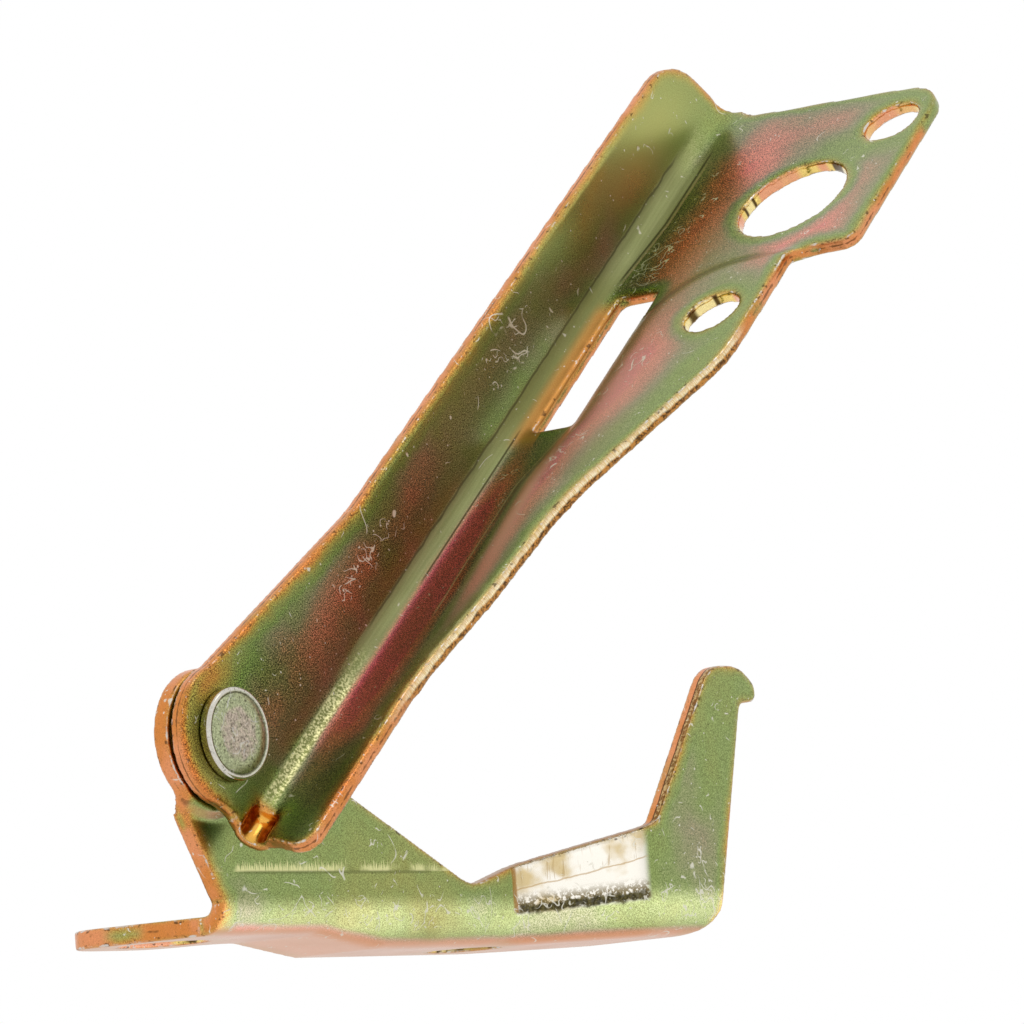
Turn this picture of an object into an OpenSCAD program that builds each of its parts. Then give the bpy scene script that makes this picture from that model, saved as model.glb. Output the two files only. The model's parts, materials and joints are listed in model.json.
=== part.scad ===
// Bonnet hinge: a pressed bonnet arm riveted to a pressed body bracket.
// Millimetres, +Z up. The origin is the centre of the pad bolt hole on the
// underside of the base. X runs along the base from the pivot to the crash
// hook, and Y runs along the rivet, away from the bonnet flange.

/* [Body bracket sheet] */
// Sheet thickness of the body bracket
bracket_t = 3; // [2.5:0.1:3.5]
// Inside radius of the bend between the base and the upright wall
base_bend_r = 2; // [1:0.1:2.4]
// Inside radius of the two bends in the stepped wall
step_bend_r = 4; // [3.7:0.1:5]
// Angle of the slanted panel between the web and the hook
step_angle = 40.4; // [38:0.2:44]

/* [Base] */
// Diameter of the bolt hole in the pad
pad_hole_d = 12; // [9:0.5:13]
// Diameter of the adjusting hole in the ear
ear_hole_d = 14; // [9:0.5:15]
// Distance along X from the ear hole to the pad hole
hole_pitch = 64; // [61:0.5:66]
// How much further behind the web the ear hole lies than the pad hole
ear_hole_back = 9; // [8:0.5:14]
// Distance from the front of the web to the pad hole
pad_hole_back = 11.5; // [11:0.5:14]
// Height of the ear above the pad
ear_lift = 2.5; // [1:0.5:4]
// Metal left around the ear hole
ear_margin = 5; // [4:0.5:7]
// How far the ear's outer corner flares past that margin
ear_flare = 0.5; // [0:0.5:5]
// Metal left behind the pad hole
pad_margin = 4; // [3:0.5:7]
// Radius of the corner between the ear and the pad
neck_r = 5; // [3:0.5:6]
// Length along X of the ramp between the ear and the pad
ramp_run = 15; // [12:1:18]
// Length of the base past the pad hole
base_tail = 31; // [28:0.5:32]
// Depth of the base behind the hook
base_depth = 23; // [18:0.5:26]

/* [Upright wall] */
// Distance along X from the pivot to the pad hole
pivot_to_pad = 75; // [73:0.5:78]
// Height of the pivot above the underside of the pad
pivot_h = 32.5; // [30:0.5:36]
// Radius of the rounded ear that carries the rivet
pivot_ear_r = 10.8; // [10.4:0.1:12]
// Depth by which the rivet ear is pressed forward of the web
ear_step = 2.2; // [1:0.1:2.6]
// Width of the slope round the pressed ear
ear_slope_run = 1.6; // [1.4:0.1:3]
// Distance along X from the pivot to the web's left corner at the base
web_left = 2; // [0:0.5:4]
// Distance along X from the pivot to the lowest point of the wall's top edge
valley_x = 64.3; // [62:0.1:66]
// Height of that low point above the underside of the pad
valley_z = 9.5; // [9:0.1:11]

/* [Crash hook] */
// Distance by which the hook stands forward of the web
hook_set = 14.8; // [13.5:0.1:16]
// Distance along X from the pivot to the foot of the hook's rear edge
hook_root_x = 95.6; // [93:0.1:96.5]
// Height of that foot above the underside of the pad
hook_root_z = 18.6; // [15:0.1:19]
// Height of the hook's top above the underside of the pad
hook_top = 45; // [42:0.5:48]
// Slope of the hook's rear edge from the horizontal
hook_slope = 55.6; // [52:0.2:60]
// Distance along X from the pivot to the tip of the beak
beak_x = 126.5; // [125:0.5:128]
// Height of the beak's tip below the hook's top
beak_drop = 5; // [4:0.2:6]
// Height of the beak's blunt nose above that tip
nose_h = 2.1; // [1.4:0.1:2.6]
// Depth of the throat under the beak
beak_reach = 4.8; // [3:0.2:6]
// Distance along X from the pivot to the outer corner of the hook's foot
hook_foot_x = 111; // [109:0.5:113]
// Radius of that corner
hook_foot_r = 8; // [5:0.5:10]

/* [Bonnet arm] */
// Sheet thickness of the bonnet arm
arm_t = 2.5; // [2:0.1:3]
// Inside radius of the bend between web and flange
arm_bend_r = 3.2; // [2.4:0.1:3.8]
// Angle of the arm above the base as shown
arm_angle = 42; // [10:0.5:70]
// Radius of the web's round end about the pivot
arm_end_r = 11.2; // [10.5:0.1:12.5]
// Length of the flange from the pivot to its top end
arm_reach = 178.8; // [178:0.2:186]
// Rise of the flange's top edge where it sweeps into the web
end_sweep = 2.3; // [0.5:0.1:3]
// How far the web's end leans back from the bend to its top corner
web_lean = 4.2; // [2:0.2:6]
// How much shorter the flange is at its free corner than at the web
end_slant = 2.3; // [0:0.1:4]
// Length of the flange below the pivot
arm_tail = 12.2; // [11:0.2:14]
// How much shorter the bend is at that end
tail_slant = 3.6; // [2:0.2:4.4]
// Height of the web's top edge above the pivot at the far end
web_top = 2.1; // [0.5:0.1:4]
// Distance from the pivot to the kink in the web's top edge
web_kink = 50; // [40:1:60]
// Height of that kink above the pivot
web_kink_h = 4; // [2:0.2:7]
// Depth of the flange's face below the pivot
flange_drop = 14; // [13:0.5:16]
// Width of the flange at the bonnet bolts
flange_wide = 49; // [48:0.5:56]
// Width of the flange at the raised pad
flange_mid = 38; // [36:0.5:42]
// Width of the flange at the pivot end
flange_low = 13; // [11:0.5:15]
// Distance from the pivot to the step in the flange's free edge
flange_step = 132.4; // [131:0.2:134]
// Inside radius of the bead pressed out at the lower end of the bend
bead_r = 2.1; // [1.6:0.1:2.4]
// Length of that bead
bead_long = 7; // [5:0.5:9]
// Wall left by drawing the bead out
bead_wall = 1.6; // [1:0.1:1.8]

/* [Bonnet bolt holes] */
// Diameter of the two bonnet bolt holes
bonnet_hole_d = 10; // [8:0.5:11]
// Diameter of the large access hole
access_hole_d = 20; // [16:0.5:21]
// Distance along the arm from the pivot to the upper bolt hole
upper_hole_s = 167; // [165:0.5:168]
// Distance of the upper bolt hole from the flange's free edge
upper_hole_in = 7.5; // [6.5:0.5:10]
// Distance along the arm from the pivot to the access hole
access_hole_s = 148.4; // [147:0.2:149.6]
// Distance of the access hole from the web
access_hole_w = 29.5; // [28:0.5:31]
// Distance along the arm from the pivot to the lower bolt hole
lower_hole_s = 115.4; // [110:0.2:117]
// Distance of the lower bolt hole from the raised pad's free edge
lower_hole_in = 8.8; // [7:0.1:11]

/* [Raised pad and slot] */
// Height of the raised pad above the flange
pad_rise = 1.5; // [0.5:0.1:2]
// Width of the fold round the raised pad
fold_run = 3.2; // [2:0.2:5]
// Distance of the fold from the web below the slot
fold_low = 8.2; // [7.4:0.2:9]
// Radius of the fold's corner between the slot and the free edge
fold_r = 17; // [12:0.5:20]
// Distance from the pivot to the foot of the raised strip
strip_foot = 48; // [40:1:56]
// Length over which the raised strip fades out
strip_fade = 26; // [15:1:28]
// Clearance each side of the hook in the slot
slot_side = 2.6; // [1.5:0.1:3]
// Clearance beyond the hook's beak as it swings through the slot
slot_end = 1.6; // [1.2:0.1:3]
// Clearance before the hook's foot at the slot's inner end
slot_lead = 4.6; // [3:0.1:5]
// Corner radius of the slot
slot_corner = 1.2; // [0.5:0.1:2]

/* [Rivet joint] */
// Diameter of the rivet's shank
rivet_d = 8; // [7:0.5:9]
// Diameter of the rivet's head
head_d = 14.5; // [13.5:0.5:17]
// Thickness of the rivet's head
head_t = 1.8; // [1.4:0.1:3]
// Diameter of the upset tail
tail_d = 12; // [11:0.5:14]
// Height of the upset tail
tail_t = 2.6; // [2:0.1:4]
// Wall of the bush
bush_wall = 1; // [0.8:0.1:1.5]
// Diameter of the bush's flange
bush_flange_d = 18; // [16:0.5:20]
// Thickness of the bush's flange
bush_flange_t = 0.8; // [0.6:0.1:1.2]
// Diameter of the tail washer
washer_d = 17; // [15:0.5:18]
// Thickness of the tail washer
washer_t = 1.2; // [1:0.1:2]
// Radial running clearance of the bush on the rivet
running_gap = 0.05; // [0.02:0.01:0.1]
// Axial clearance on each side of the arm in the joint
side_gap = 0.1; // [0.05:0.05:0.2]

/* [Hidden] */
$fn = 96;

// Degrees of turn for each straight piece of a rounded corner
arc_step = 12;
// Overshoot of cutting tools past the metal
cut = 1;
// Length that reaches past the whole part
past = 300;
// Overlap by which a bend runs on into the sheets that it joins
lap = 0.4;

// Planes along the rivet, counted from the front of the bracket's web
web_y = -pad_hole_back;
ear_y = web_y - ear_step;
arm_y = ear_y - side_gap - bush_flange_t - arm_t;
hook_y = web_y - hook_set;

// Outside radii of the two long bends
base_bend_out = base_bend_r + bracket_t;
arm_bend_out = arm_bend_r + arm_t;

// Edges of the base: along X from the pivot, along Y from the pad hole
ear_x = pivot_to_pad - hole_pitch;
ear_left_x = ear_x - ear_hole_d / 2 - ear_margin - ear_flare;
ear_right_x = ear_x + ear_hole_d / 2 + ear_margin;
ear_edge_y = ear_hole_back + ear_hole_d / 2 + ear_margin;
ear_lean = 4;
base_left_x = min(web_left, ear_left_x + ear_lean);
pad_edge_y = pad_hole_d / 2 + pad_margin;
base_end_x = pivot_to_pad + base_tail;
base_end_y = hook_y + base_depth;
ear_corner_r = 7;
pad_corner_r = 12;
base_corner_r = 6;

// The ramp from the ear down to the pad
ramp_x0 = ear_right_x + neck_r;
ramp_x1 = ramp_x0 + ramp_run;
ramp_angle = atan(ear_lift / ramp_run);
ramp_miter = tan(ramp_angle / 2);

// The slanted panel: corners of its front face before rounding
step_half = tan(step_angle / 2);
step_x1 = hook_root_x - (step_bend_r + bracket_t) * step_half;
step_x0 = step_x1 - hook_set / tan(step_angle);

// The pressed rivet ear: flat out to the first radius, back in line at the second
ear_rim = 0.4;
ear_flat_r = pivot_ear_r + ear_rim;
ear_foot_r = ear_flat_r + ear_slope_run;
// Where the web's left and top edges leave the ear, in degrees round the pivot
ear_left_angle = 215;
ear_top_angle = 22;
ear_root_r = pivot_ear_r - ear_rim;

// Corner radii of the wall and the hook, and the beak's blunt nose
valley_r = 8;
hook_root_r = 3;
hook_top_r = 7;
beak_top_r = 7;
nose_r = 1.2;
tip_r = 0.6;
throat_r = 1.6;
nose_lean = 0.3;
nose_blunt = 1;
tip_ease = 0.9;
beak_rise = 0.4;
beak_slope = 37;

// The slot in the arm follows the hook that passes through it
slot_mid_w = arm_y - hook_y - bracket_t / 2;
slot_w0 = slot_mid_w - bracket_t / 2 - slot_side;
slot_w1 = slot_mid_w + bracket_t / 2 + slot_side;
beak_r = norm([beak_x, hook_top - beak_drop - pivot_h]);
slot_s1 = sqrt(pow(beak_r + slot_end, 2) - pow(flange_drop, 2));
slot_s0 = hook_root_x - slot_lead;

// The fold starts just past the slot, and runs in towards the web below it
fold_gap = 0.4;
fold_w = slot_w1 + fold_gap;
fold_lead = 15;
fold_turn_s = slot_s0 - fold_lead;
fold_skew = atan((fold_w - fold_low) / fold_lead);

// Distance of the bead's centre from the faces of web and flange
bead_in = arm_bend_r * (1 - sqrt(0.5));

// Corners of the arm's web; its heel stands a little in from the bend's lower end
web_kink_r = 30;
web_corner_r = 10.8;
web_left_angle = 190;
arm_root_r = arm_end_r - ear_rim;
tail_s = tail_slant - arm_tail;
heel_set = 0.6;
heel_s = heel_set + tail_s;

// Upper end of the web and the bend, and the sweep from there to the flange's top edge
web_end_s = arm_reach + end_sweep;
sweep_run = 4;
sweep_r = 8;

// Corner radii of the flange
top_corner_r = 8.6;
step_corner_r = 2.5;
step_inner_r = 4;
tail_corner_r = 3;

// The free edge tapers from below the lower bolt hole to the pivot end
taper_lead = 13;
taper_top_s = lower_hole_s - taper_lead;
taper_top_r = 16;
taper_rise = 18;
taper_mid_s = strip_foot + taper_rise;
taper_swell = 8;
taper_mid_w = flange_low + taper_swell;
taper_mid_r = 25;
taper_tail = 20;
taper_low_s = strip_foot - taper_tail;
taper_low_r = 40;

// Distances of the bolt holes from the web
upper_hole_w = flange_wide - upper_hole_in;
lower_hole_w = flange_mid - lower_hole_in;

// Centre of the fold's round corner
fold_s = flange_step - fold_r;
fold_mid_w = fold_w + fold_r;

// Rivet joint
bush_d = rivet_d + 2 * running_gap + 2 * bush_wall;
grip = side_gap + arm_t + bush_flange_t + side_gap + bracket_t + washer_t;
washer_gap = 0.1;
// Rounded edges of the rivet's head and tail, as shares of their heights
head_round = 0.61;
tail_round = 0.77;
head_edge_r = head_t * head_round;
tail_edge_r = tail_t * tail_round;

// Corner points to an outline: each point is [x, y, corner radius]
function flat_of(p) = [p[0], p[1]];
function unit_of(v) = v / norm(v);
function turn_of(u, v) = atan2(u[0] * v[1] - u[1] * v[0], u * v);
function arc_at(before, here, after) =
    let(
        u = unit_of(flat_of(before) - flat_of(here)),
        v = unit_of(flat_of(after) - flat_of(here)),
        half = acos(u * v) / 2,
        centre = flat_of(here) + unit_of(u + v) * here[2] / sin(half),
        start = flat_of(here) + u * here[2] / tan(half) - centre,
        stop = flat_of(here) + v * here[2] / tan(half) - centre,
        sweep = turn_of(start, stop),
        steps = ceil(abs(sweep) / arc_step),
        a0 = atan2(start[1], start[0])
    )
    [for (i = [0:steps]) let(a = a0 + sweep * i / steps) centre + here[2] * [cos(a), sin(a)]];
function outline(pts) = [
    for (i = [0:len(pts) - 1])
        let(n = len(pts), p = pts[i])
        each (p[2] > 0 ? arc_at(pts[(i + n - 1) % n], p, pts[(i + 1) % n]) : [flat_of(p)])
];

// A flat drawing in X and Z becomes a plate from y to y + t
module plate(y, t) {
    translate([0, y + t, 0])
        rotate([90, 0, 0])
            linear_extrude(t)
                children();
}

// A section drawn in Y and Z becomes a bar from x0 to x1
module bar(x0, x1) {
    translate([x0, 0, 0])
        rotate([90, 0, 90])
            linear_extrude(x1 - x0)
                children();
}

// A round tool along the rivet, from y to y + t, at the given X and Z
module cross_hole(d, y, t, at = [0, 0]) {
    translate([at[0], y, at[1]])
        rotate([-90, 0, 0])
            cylinder(d = d, h = t);
}

// The arm's bend drawn in Y and Z: a quarter ring with its outer faces on the axes,
// which runs on as a sheet upwards and backwards
module bend_section(r_in, r_out, up, back) {
    t = r_out - r_in;
    translate([r_out, r_out])
        intersection() {
            difference() {
                circle(r_out);
                circle(r_in);
            }
            translate([-r_out, -r_out])
                square(r_out);
        }
    translate([0, r_out])
        square([t, up]);
    translate([r_out, 0])
        square([back, t]);
}

// Front line of the wall, moved back by a distance, as corner points
function wall_line(back, x_end) = [
    [step_x0 + back * step_half, web_y + back, step_bend_r + back],
    [step_x1 + back * step_half, hook_y + back, step_bend_r + bracket_t - back],
    [x_end, hook_y + back, 0]
];

// The same line from a start on the web to the beak, with its corners rounded
function wall_track(back, x_start) = outline(concat([[x_start, web_y + back, 0]], wall_line(back, beak_x)));

// Plan of the upright wall
module wall_plan() {
    front = wall_track(0, -past);
    rear = wall_track(bracket_t, -past);
    polygon(concat(front, [for (i = [len(rear) - 1:-1:0]) rear[i]]));
}

// Front view of the wall from the pivot to the beak, with its foot at a height above the base
module wall_face(foot) {
    hook_run = (hook_top - hook_root_z) / tan(hook_slope);
    nose_drop = beak_drop - nose_h;
    beak_run = nose_drop / tan(beak_slope);
    polygon(outline([
        [ear_root_r * cos(ear_left_angle), pivot_h + ear_root_r * sin(ear_left_angle), 0],
        [web_left, ear_lift + foot, 0],
        [ramp_x0 + foot * ramp_miter, ear_lift + foot, 0],
        [ramp_x1 + foot * ramp_miter, foot, 0],
        [beak_x, foot, 0],
        [beak_x, hook_top - beak_drop, tip_r],
        [beak_x - nose_lean, hook_top - nose_drop, nose_r],
        [beak_x - nose_lean - beak_run, hook_top, beak_top_r],
        [hook_root_x + hook_run, hook_top, hook_top_r],
        [hook_root_x, hook_root_z, hook_root_r],
        [valley_x, valley_z, valley_r],
        [ear_root_r * cos(ear_top_angle), pivot_h + ear_root_r * sin(ear_top_angle), 0]
    ]));
}

// What is cut away outside the hook's front edge and under its beak
module hook_relief() {
    throat_z = hook_top - beak_drop - nose_blunt - beak_rise;
    polygon(outline([
        [-past, 0, 0],
        [hook_foot_x, 0, hook_foot_r],
        [beak_x - beak_reach, throat_z, throat_r],
        [beak_x - tip_ease, throat_z + beak_rise, 0],
        [beak_x - tip_ease + past, throat_z + beak_rise + past, 0],
        [beak_x + past, -past, 0],
        [-past, -past, 0]
    ]));
}

// Dished disc whose middle is the pressed rivet ear
module ear_dish() {
    translate([0, 0, pivot_h])
        rotate([-90, 0, 0])
            rotate_extrude()
                polygon([
                    [0, ear_y],
                    [ear_flat_r, ear_y],
                    [ear_foot_r, web_y],
                    [ear_foot_r + 2 * lap, web_y],
                    [ear_foot_r + 2 * lap, web_y + bracket_t],
                    [ear_foot_r, web_y + bracket_t],
                    [ear_flat_r, ear_y + bracket_t],
                    [0, ear_y + bracket_t]
                ]);
}

// Web, slanted panel and hook, with the rivet ear pressed forward from the web
module upright_wall() {
    intersection() {
        linear_extrude(pivot_h + hook_top)
            wall_plan();
        plate(hook_y - cut, hook_set + bracket_t + 2 * cut)
            difference() {
                wall_face(base_bend_out + lap);
                translate([0, pivot_h])
                    circle(ear_foot_r + lap);
            }
    }
    intersection() {
        ear_dish();
        plate(ear_y - cut, ear_step + bracket_t + 2 * cut)
            union() {
                wall_face(base_bend_out + lap);
                translate([0, pivot_h])
                    circle(pivot_ear_r);
            }
    }
}

// Section of the bend between base and wall: distance behind the wall's front, and
// height above the underside, running on into both sheets
function bend_points() = outline([
    [0, base_bend_out + 2 * lap, 0],
    [0, 0, base_bend_out],
    [base_bend_out + 2 * lap, 0, 0],
    [base_bend_out + 2 * lap, bracket_t, 0],
    [bracket_t, bracket_t, base_bend_r],
    [bracket_t, base_bend_out + 2 * lap, 0]
]);

// Path of one point of that section: over the ear, down the ramp, along the pad,
// round both corners of the panel and along the hook
function bend_rail(back, rise) =
    let(track = wall_track(back, ramp_x1))
    concat(
        [
            [-pivot_ear_r, web_y + back, ear_lift + rise],
            [ramp_x0 + rise * ramp_miter, web_y + back, ear_lift + rise],
            [ramp_x1 + rise * ramp_miter, web_y + back, rise]
        ],
        [for (i = [1:len(track) - 1]) [track[i][0], track[i][1], rise]]
    );

module bend_sweep() {
    rails = [for (p = bend_points()) bend_rail(p[0], p[1])];
    n = len(rails);
    k = len(rails[0]);
    polyhedron(
        points = [for (rail = rails) each rail],
        faces = concat(
            [for (j = [0:n - 1], i = [0:k - 2])
                let(a = j * k + i, b = ((j + 1) % n) * k + i)
                [b, b + 1, a + 1, a]],
            [[for (j = [0:n - 1]) j * k]],
            [[for (j = [n - 1:-1:0]) j * k + k - 1]]
        )
    );
}

// The bend, cut off at the web's left corner
module base_bend() {
    intersection() {
        bend_sweep();
        translate([web_left + lap, -past, -cut])
            cube([past, 2 * past, past]);
    }
}

// Plan of the flat base behind the bend
module base_plan() {
    polygon(outline(concat(
        [[base_left_x, web_y + base_bend_out + lap, 0]],
        wall_line(base_bend_out + lap, base_end_x),
        [
            [base_end_x, base_end_y, base_corner_r],
            [pivot_to_pad + pad_corner_r, pad_edge_y, pad_corner_r],
            [ear_right_x, pad_edge_y, neck_r],
            [ear_right_x, ear_edge_y, ear_corner_r],
            [ear_left_x, ear_edge_y, ear_corner_r]
        ]
    )));
}

// Side view of the base sheet: ear, ramp and pad
module base_levels() {
    polygon([
        [-past, ear_lift],
        [ramp_x0, ear_lift],
        [ramp_x1, 0],
        [past, 0],
        [past, bracket_t],
        [ramp_x1 + bracket_t * ramp_miter, bracket_t],
        [ramp_x0 + bracket_t * ramp_miter, ear_lift + bracket_t],
        [-past, ear_lift + bracket_t]
    ]);
}

module base_sheet() {
    intersection() {
        linear_extrude(ear_lift + bracket_t + cut)
            base_plan();
        plate(hook_y, past)
            base_levels();
    }
}

module body_bracket() {
    color("darkkhaki")
        translate([-pivot_to_pad, 0, 0])
            difference() {
                union() {
                    upright_wall();
                    base_bend();
                    base_sheet();
                }
                plate(hook_y - cut, past)
                    hook_relief();
                cross_hole(rivet_d, ear_y - cut, bracket_t + 2 * cut, [0, pivot_h]);
                translate([pivot_to_pad, 0, -cut])
                    cylinder(d = pad_hole_d, h = bracket_t + 2 * cut);
                translate([ear_x, ear_hole_back, ear_lift - cut])
                    cylinder(d = ear_hole_d, h = bracket_t + 2 * cut);
            }
}

// The arm's own frame: the pivot is the origin, X runs along the flange,
// the web's front face is y = 0 and the flange comes forward to negative y
module on_pivot() {
    translate([-pivot_to_pad, arm_y, pivot_h])
        children();
}

module in_arm() {
    on_pivot()
        rotate([0, -arm_angle, 0])
            children();
}

// Front view of the arm's web, with its foot just above the bend
module web_face() {
    rise_angle = atan(web_kink_h / web_kink);
    tangent_angle = rise_angle + acos(arm_end_r / norm([web_kink, web_kink_h]));
    foot = arm_bend_r - flange_drop + lap;
    circle(arm_end_r);
    polygon(outline([
        [arm_root_r * cos(tangent_angle), arm_root_r * sin(tangent_angle), 0],
        [web_kink, web_kink_h, web_kink_r],
        [web_end_s - web_lean, web_top, web_corner_r],
        [web_end_s, foot, 0],
        [heel_s, foot, 0],
        [arm_root_r * cos(web_left_angle), arm_root_r * sin(web_left_angle), 0]
    ]));
}

// Plan of the flange from the bend to its free edge
module flange_plan() {
    polygon(outline([
        [tail_s, -arm_bend_r - lap, 0],
        [web_end_s, -arm_bend_r - lap, 0],
        [arm_reach, -arm_bend_r - sweep_run, sweep_r],
        [arm_reach - end_slant, -flange_wide, top_corner_r],
        [flange_step, -flange_wide, step_corner_r],
        [flange_step, -flange_mid, step_inner_r],
        [taper_top_s, -flange_mid, taper_top_r],
        [taper_mid_s, -taper_mid_w, taper_mid_r],
        [taper_low_s, -flange_low, taper_low_r],
        [-arm_tail, -flange_low, tail_corner_r]
    ]));
}

// Side views of what lies under the raised pad's face, less a drop: across a fold
// at a distance from the web, and along the arm from the strip's foot to the step
module fold_across(w, drop) {
    polygon([
        [-w, -past],
        [-w, -drop],
        [-w - fold_run, pad_rise - drop],
        [-past, pad_rise - drop],
        [-past, -past]
    ]);
}

module fold_along(drop) {
    polygon([
        [strip_foot, -past],
        [strip_foot, -drop],
        [strip_foot + strip_fade, pad_rise - drop],
        [flange_step - fold_run, pad_rise - drop],
        [flange_step, -drop],
        [flange_step, -past]
    ]);
}

// The long fold: straight beside the slot, then slanting in, then straight again
module fold_beside_slot(drop) {
    bar(-past, fold_s)
        fold_across(fold_w, drop);
    intersection() {
        bar(-past, fold_s)
            fold_across(fold_low, drop);
        translate([fold_turn_s, -fold_low, 0])
            rotate([0, 0, -fold_skew])
                bar(-past, past)
                    fold_across(0, drop);
    }
}

// The round corner of the fold is part of a cone
module fold_corner(drop) {
    translate([fold_s, -fold_mid_w, -drop])
        rotate_extrude()
            polygon([
                [0, -arm_bend_out],
                [fold_r, -arm_bend_out],
                [fold_r, 0],
                [fold_r - fold_run, pad_rise],
                [0, pad_rise]
            ]);
}

// Everything under the flange's face, less a drop
module below_face(drop) {
    translate([-past, -past, -past - drop])
        cube([2 * past, 2 * past, past]);
    intersection() {
        fold_beside_slot(drop);
        plate(-past, 2 * past)
            fold_along(drop);
    }
    plate(-past, past - fold_mid_w)
        fold_along(drop);
    fold_corner(drop);
}

// The flange with its raised pad, its face at z = 0 away from the pad
module flange_sheet() {
    intersection() {
        translate([0, 0, -arm_bend_out])
            linear_extrude(2 * arm_bend_out)
                flange_plan();
        difference() {
            below_face(0);
            below_face(arm_t);
        }
    }
}

// Bend between the web and the flange, running on into both
module arm_bend() {
    bar(tail_s, web_end_s)
        translate([arm_t, -arm_t])
            mirror([1, 0])
                bend_section(arm_bend_r, arm_bend_out, 2 * lap, 2 * lap);
}

module flange_hole(d, s, w) {
    translate([s, -w, -arm_bend_out])
        cylinder(d = d, h = 2 * arm_bend_out);
}

module hook_slot() {
    translate([0, 0, -arm_bend_out])
        linear_extrude(2 * arm_bend_out)
            polygon(outline([
                [slot_s0, -slot_w0, slot_corner],
                [slot_s1, -slot_w0, slot_corner],
                [slot_s1, -slot_w1, slot_corner],
                [slot_s0, -slot_w1, slot_corner]
            ]));
}

// Section of the pressed-out bead in Y and Z, from inside the sheet outwards
module bead_section() {
    inner_r = arm_bend_r + lap;
    difference() {
        translate([-bead_in, bead_in])
            circle(bead_r + bead_wall);
        translate([-arm_bend_r, arm_bend_r]) {
            circle(inner_r);
            translate([-past, -inner_r])
                square([past, 2 * past]);
            translate([-past, 0])
                square([past + inner_r, past]);
        }
    }
}

// Round channel inside the bead, open at the arm's lower end
module bead_channel() {
    bar(tail_s - cut, tail_s + bead_long - bead_wall)
        translate([-bead_in, bead_in])
            circle(bead_r);
}

module bonnet_arm() {
    color("olivedrab")
        in_arm()
            difference() {
                union() {
                    plate(0, arm_t)
                        web_face();
                    translate([0, 0, -flange_drop]) {
                        flange_sheet();
                        arm_bend();
                        bar(tail_s, tail_s + bead_long)
                            bead_section();
                    }
                }
                cross_hole(bush_d, -cut, arm_t + 2 * cut);
                translate([0, 0, -flange_drop]) {
                    flange_hole(bonnet_hole_d, upper_hole_s, upper_hole_w);
                    flange_hole(bonnet_hole_d, lower_hole_s, lower_hole_w);
                    flange_hole(access_hole_d, access_hole_s, access_hole_w);
                    hook_slot();
                    bead_channel();
                }
            }
}

// Rivet with its flat head in front and its upset tail behind the washer
module pivot_rivet() {
    color("silver")
        on_pivot()
            translate([0, -side_gap, 0])
                rotate([-90, 0, 0])
                    rotate_extrude()
                        polygon(outline([
                            [0, -head_t, 0],
                            [head_d / 2, -head_t, head_edge_r],
                            [head_d / 2, 0, 0],
                            [rivet_d / 2, 0, 0],
                            [rivet_d / 2, grip, 0],
                            [tail_d / 2, grip, 0],
                            [tail_d / 2, grip + tail_t, tail_edge_r],
                            [0, grip + tail_t, 0]
                        ]));
}

// Flanged bush pressed into the arm; it turns on the rivet and spaces the ear
module pivot_bush() {
    color("darkgoldenrod")
        on_pivot()
            rotate([-90, 0, 0])
                rotate_extrude()
                    polygon([
                        [rivet_d / 2 + running_gap, 0],
                        [bush_d / 2, 0],
                        [bush_d / 2, arm_t],
                        [bush_flange_d / 2, arm_t],
                        [bush_flange_d / 2, arm_t + bush_flange_t],
                        [rivet_d / 2 + running_gap, arm_t + bush_flange_t]
                    ]);
}

// Washer between the ear and the rivet's tail
module tail_washer() {
    color("gainsboro")
        translate([-pivot_to_pad, ear_y + bracket_t, pivot_h])
            rotate([-90, 0, 0])
                difference() {
                    cylinder(d = washer_d, h = washer_t);
                    translate([0, 0, -cut])
                        cylinder(d = rivet_d + 2 * washer_gap, h = washer_t + 2 * cut);
                }
}

body_bracket();
bonnet_arm();
pivot_rivet();
pivot_bush();
tail_washer();
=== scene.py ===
# %% [markdown]
# # A bonnet hinge in yellow-passivated zinc
# This lesson dresses a imported CAD model of a car's bonnet hinge. The hinge is two steel
# stampings on one rivet. The CAD gives every size and every place, so no piece is fitted
# by eye: each is made where its CAD node is, and rides on that node's body. Only the
# marks of the finish are given one by one. The work is in the surfaces: soft pressed folds,
# rounded sheared edges, and a zinc film whose colour runs from orange at the edges
# through green to rose.

# %% The frame
import json
import math

import bmesh
import bpy
import numpy as np
from mathutils import Matrix, Vector
from mathutils.bvhtree import BVHTree
from mathutils.kdtree import KDTree

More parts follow.
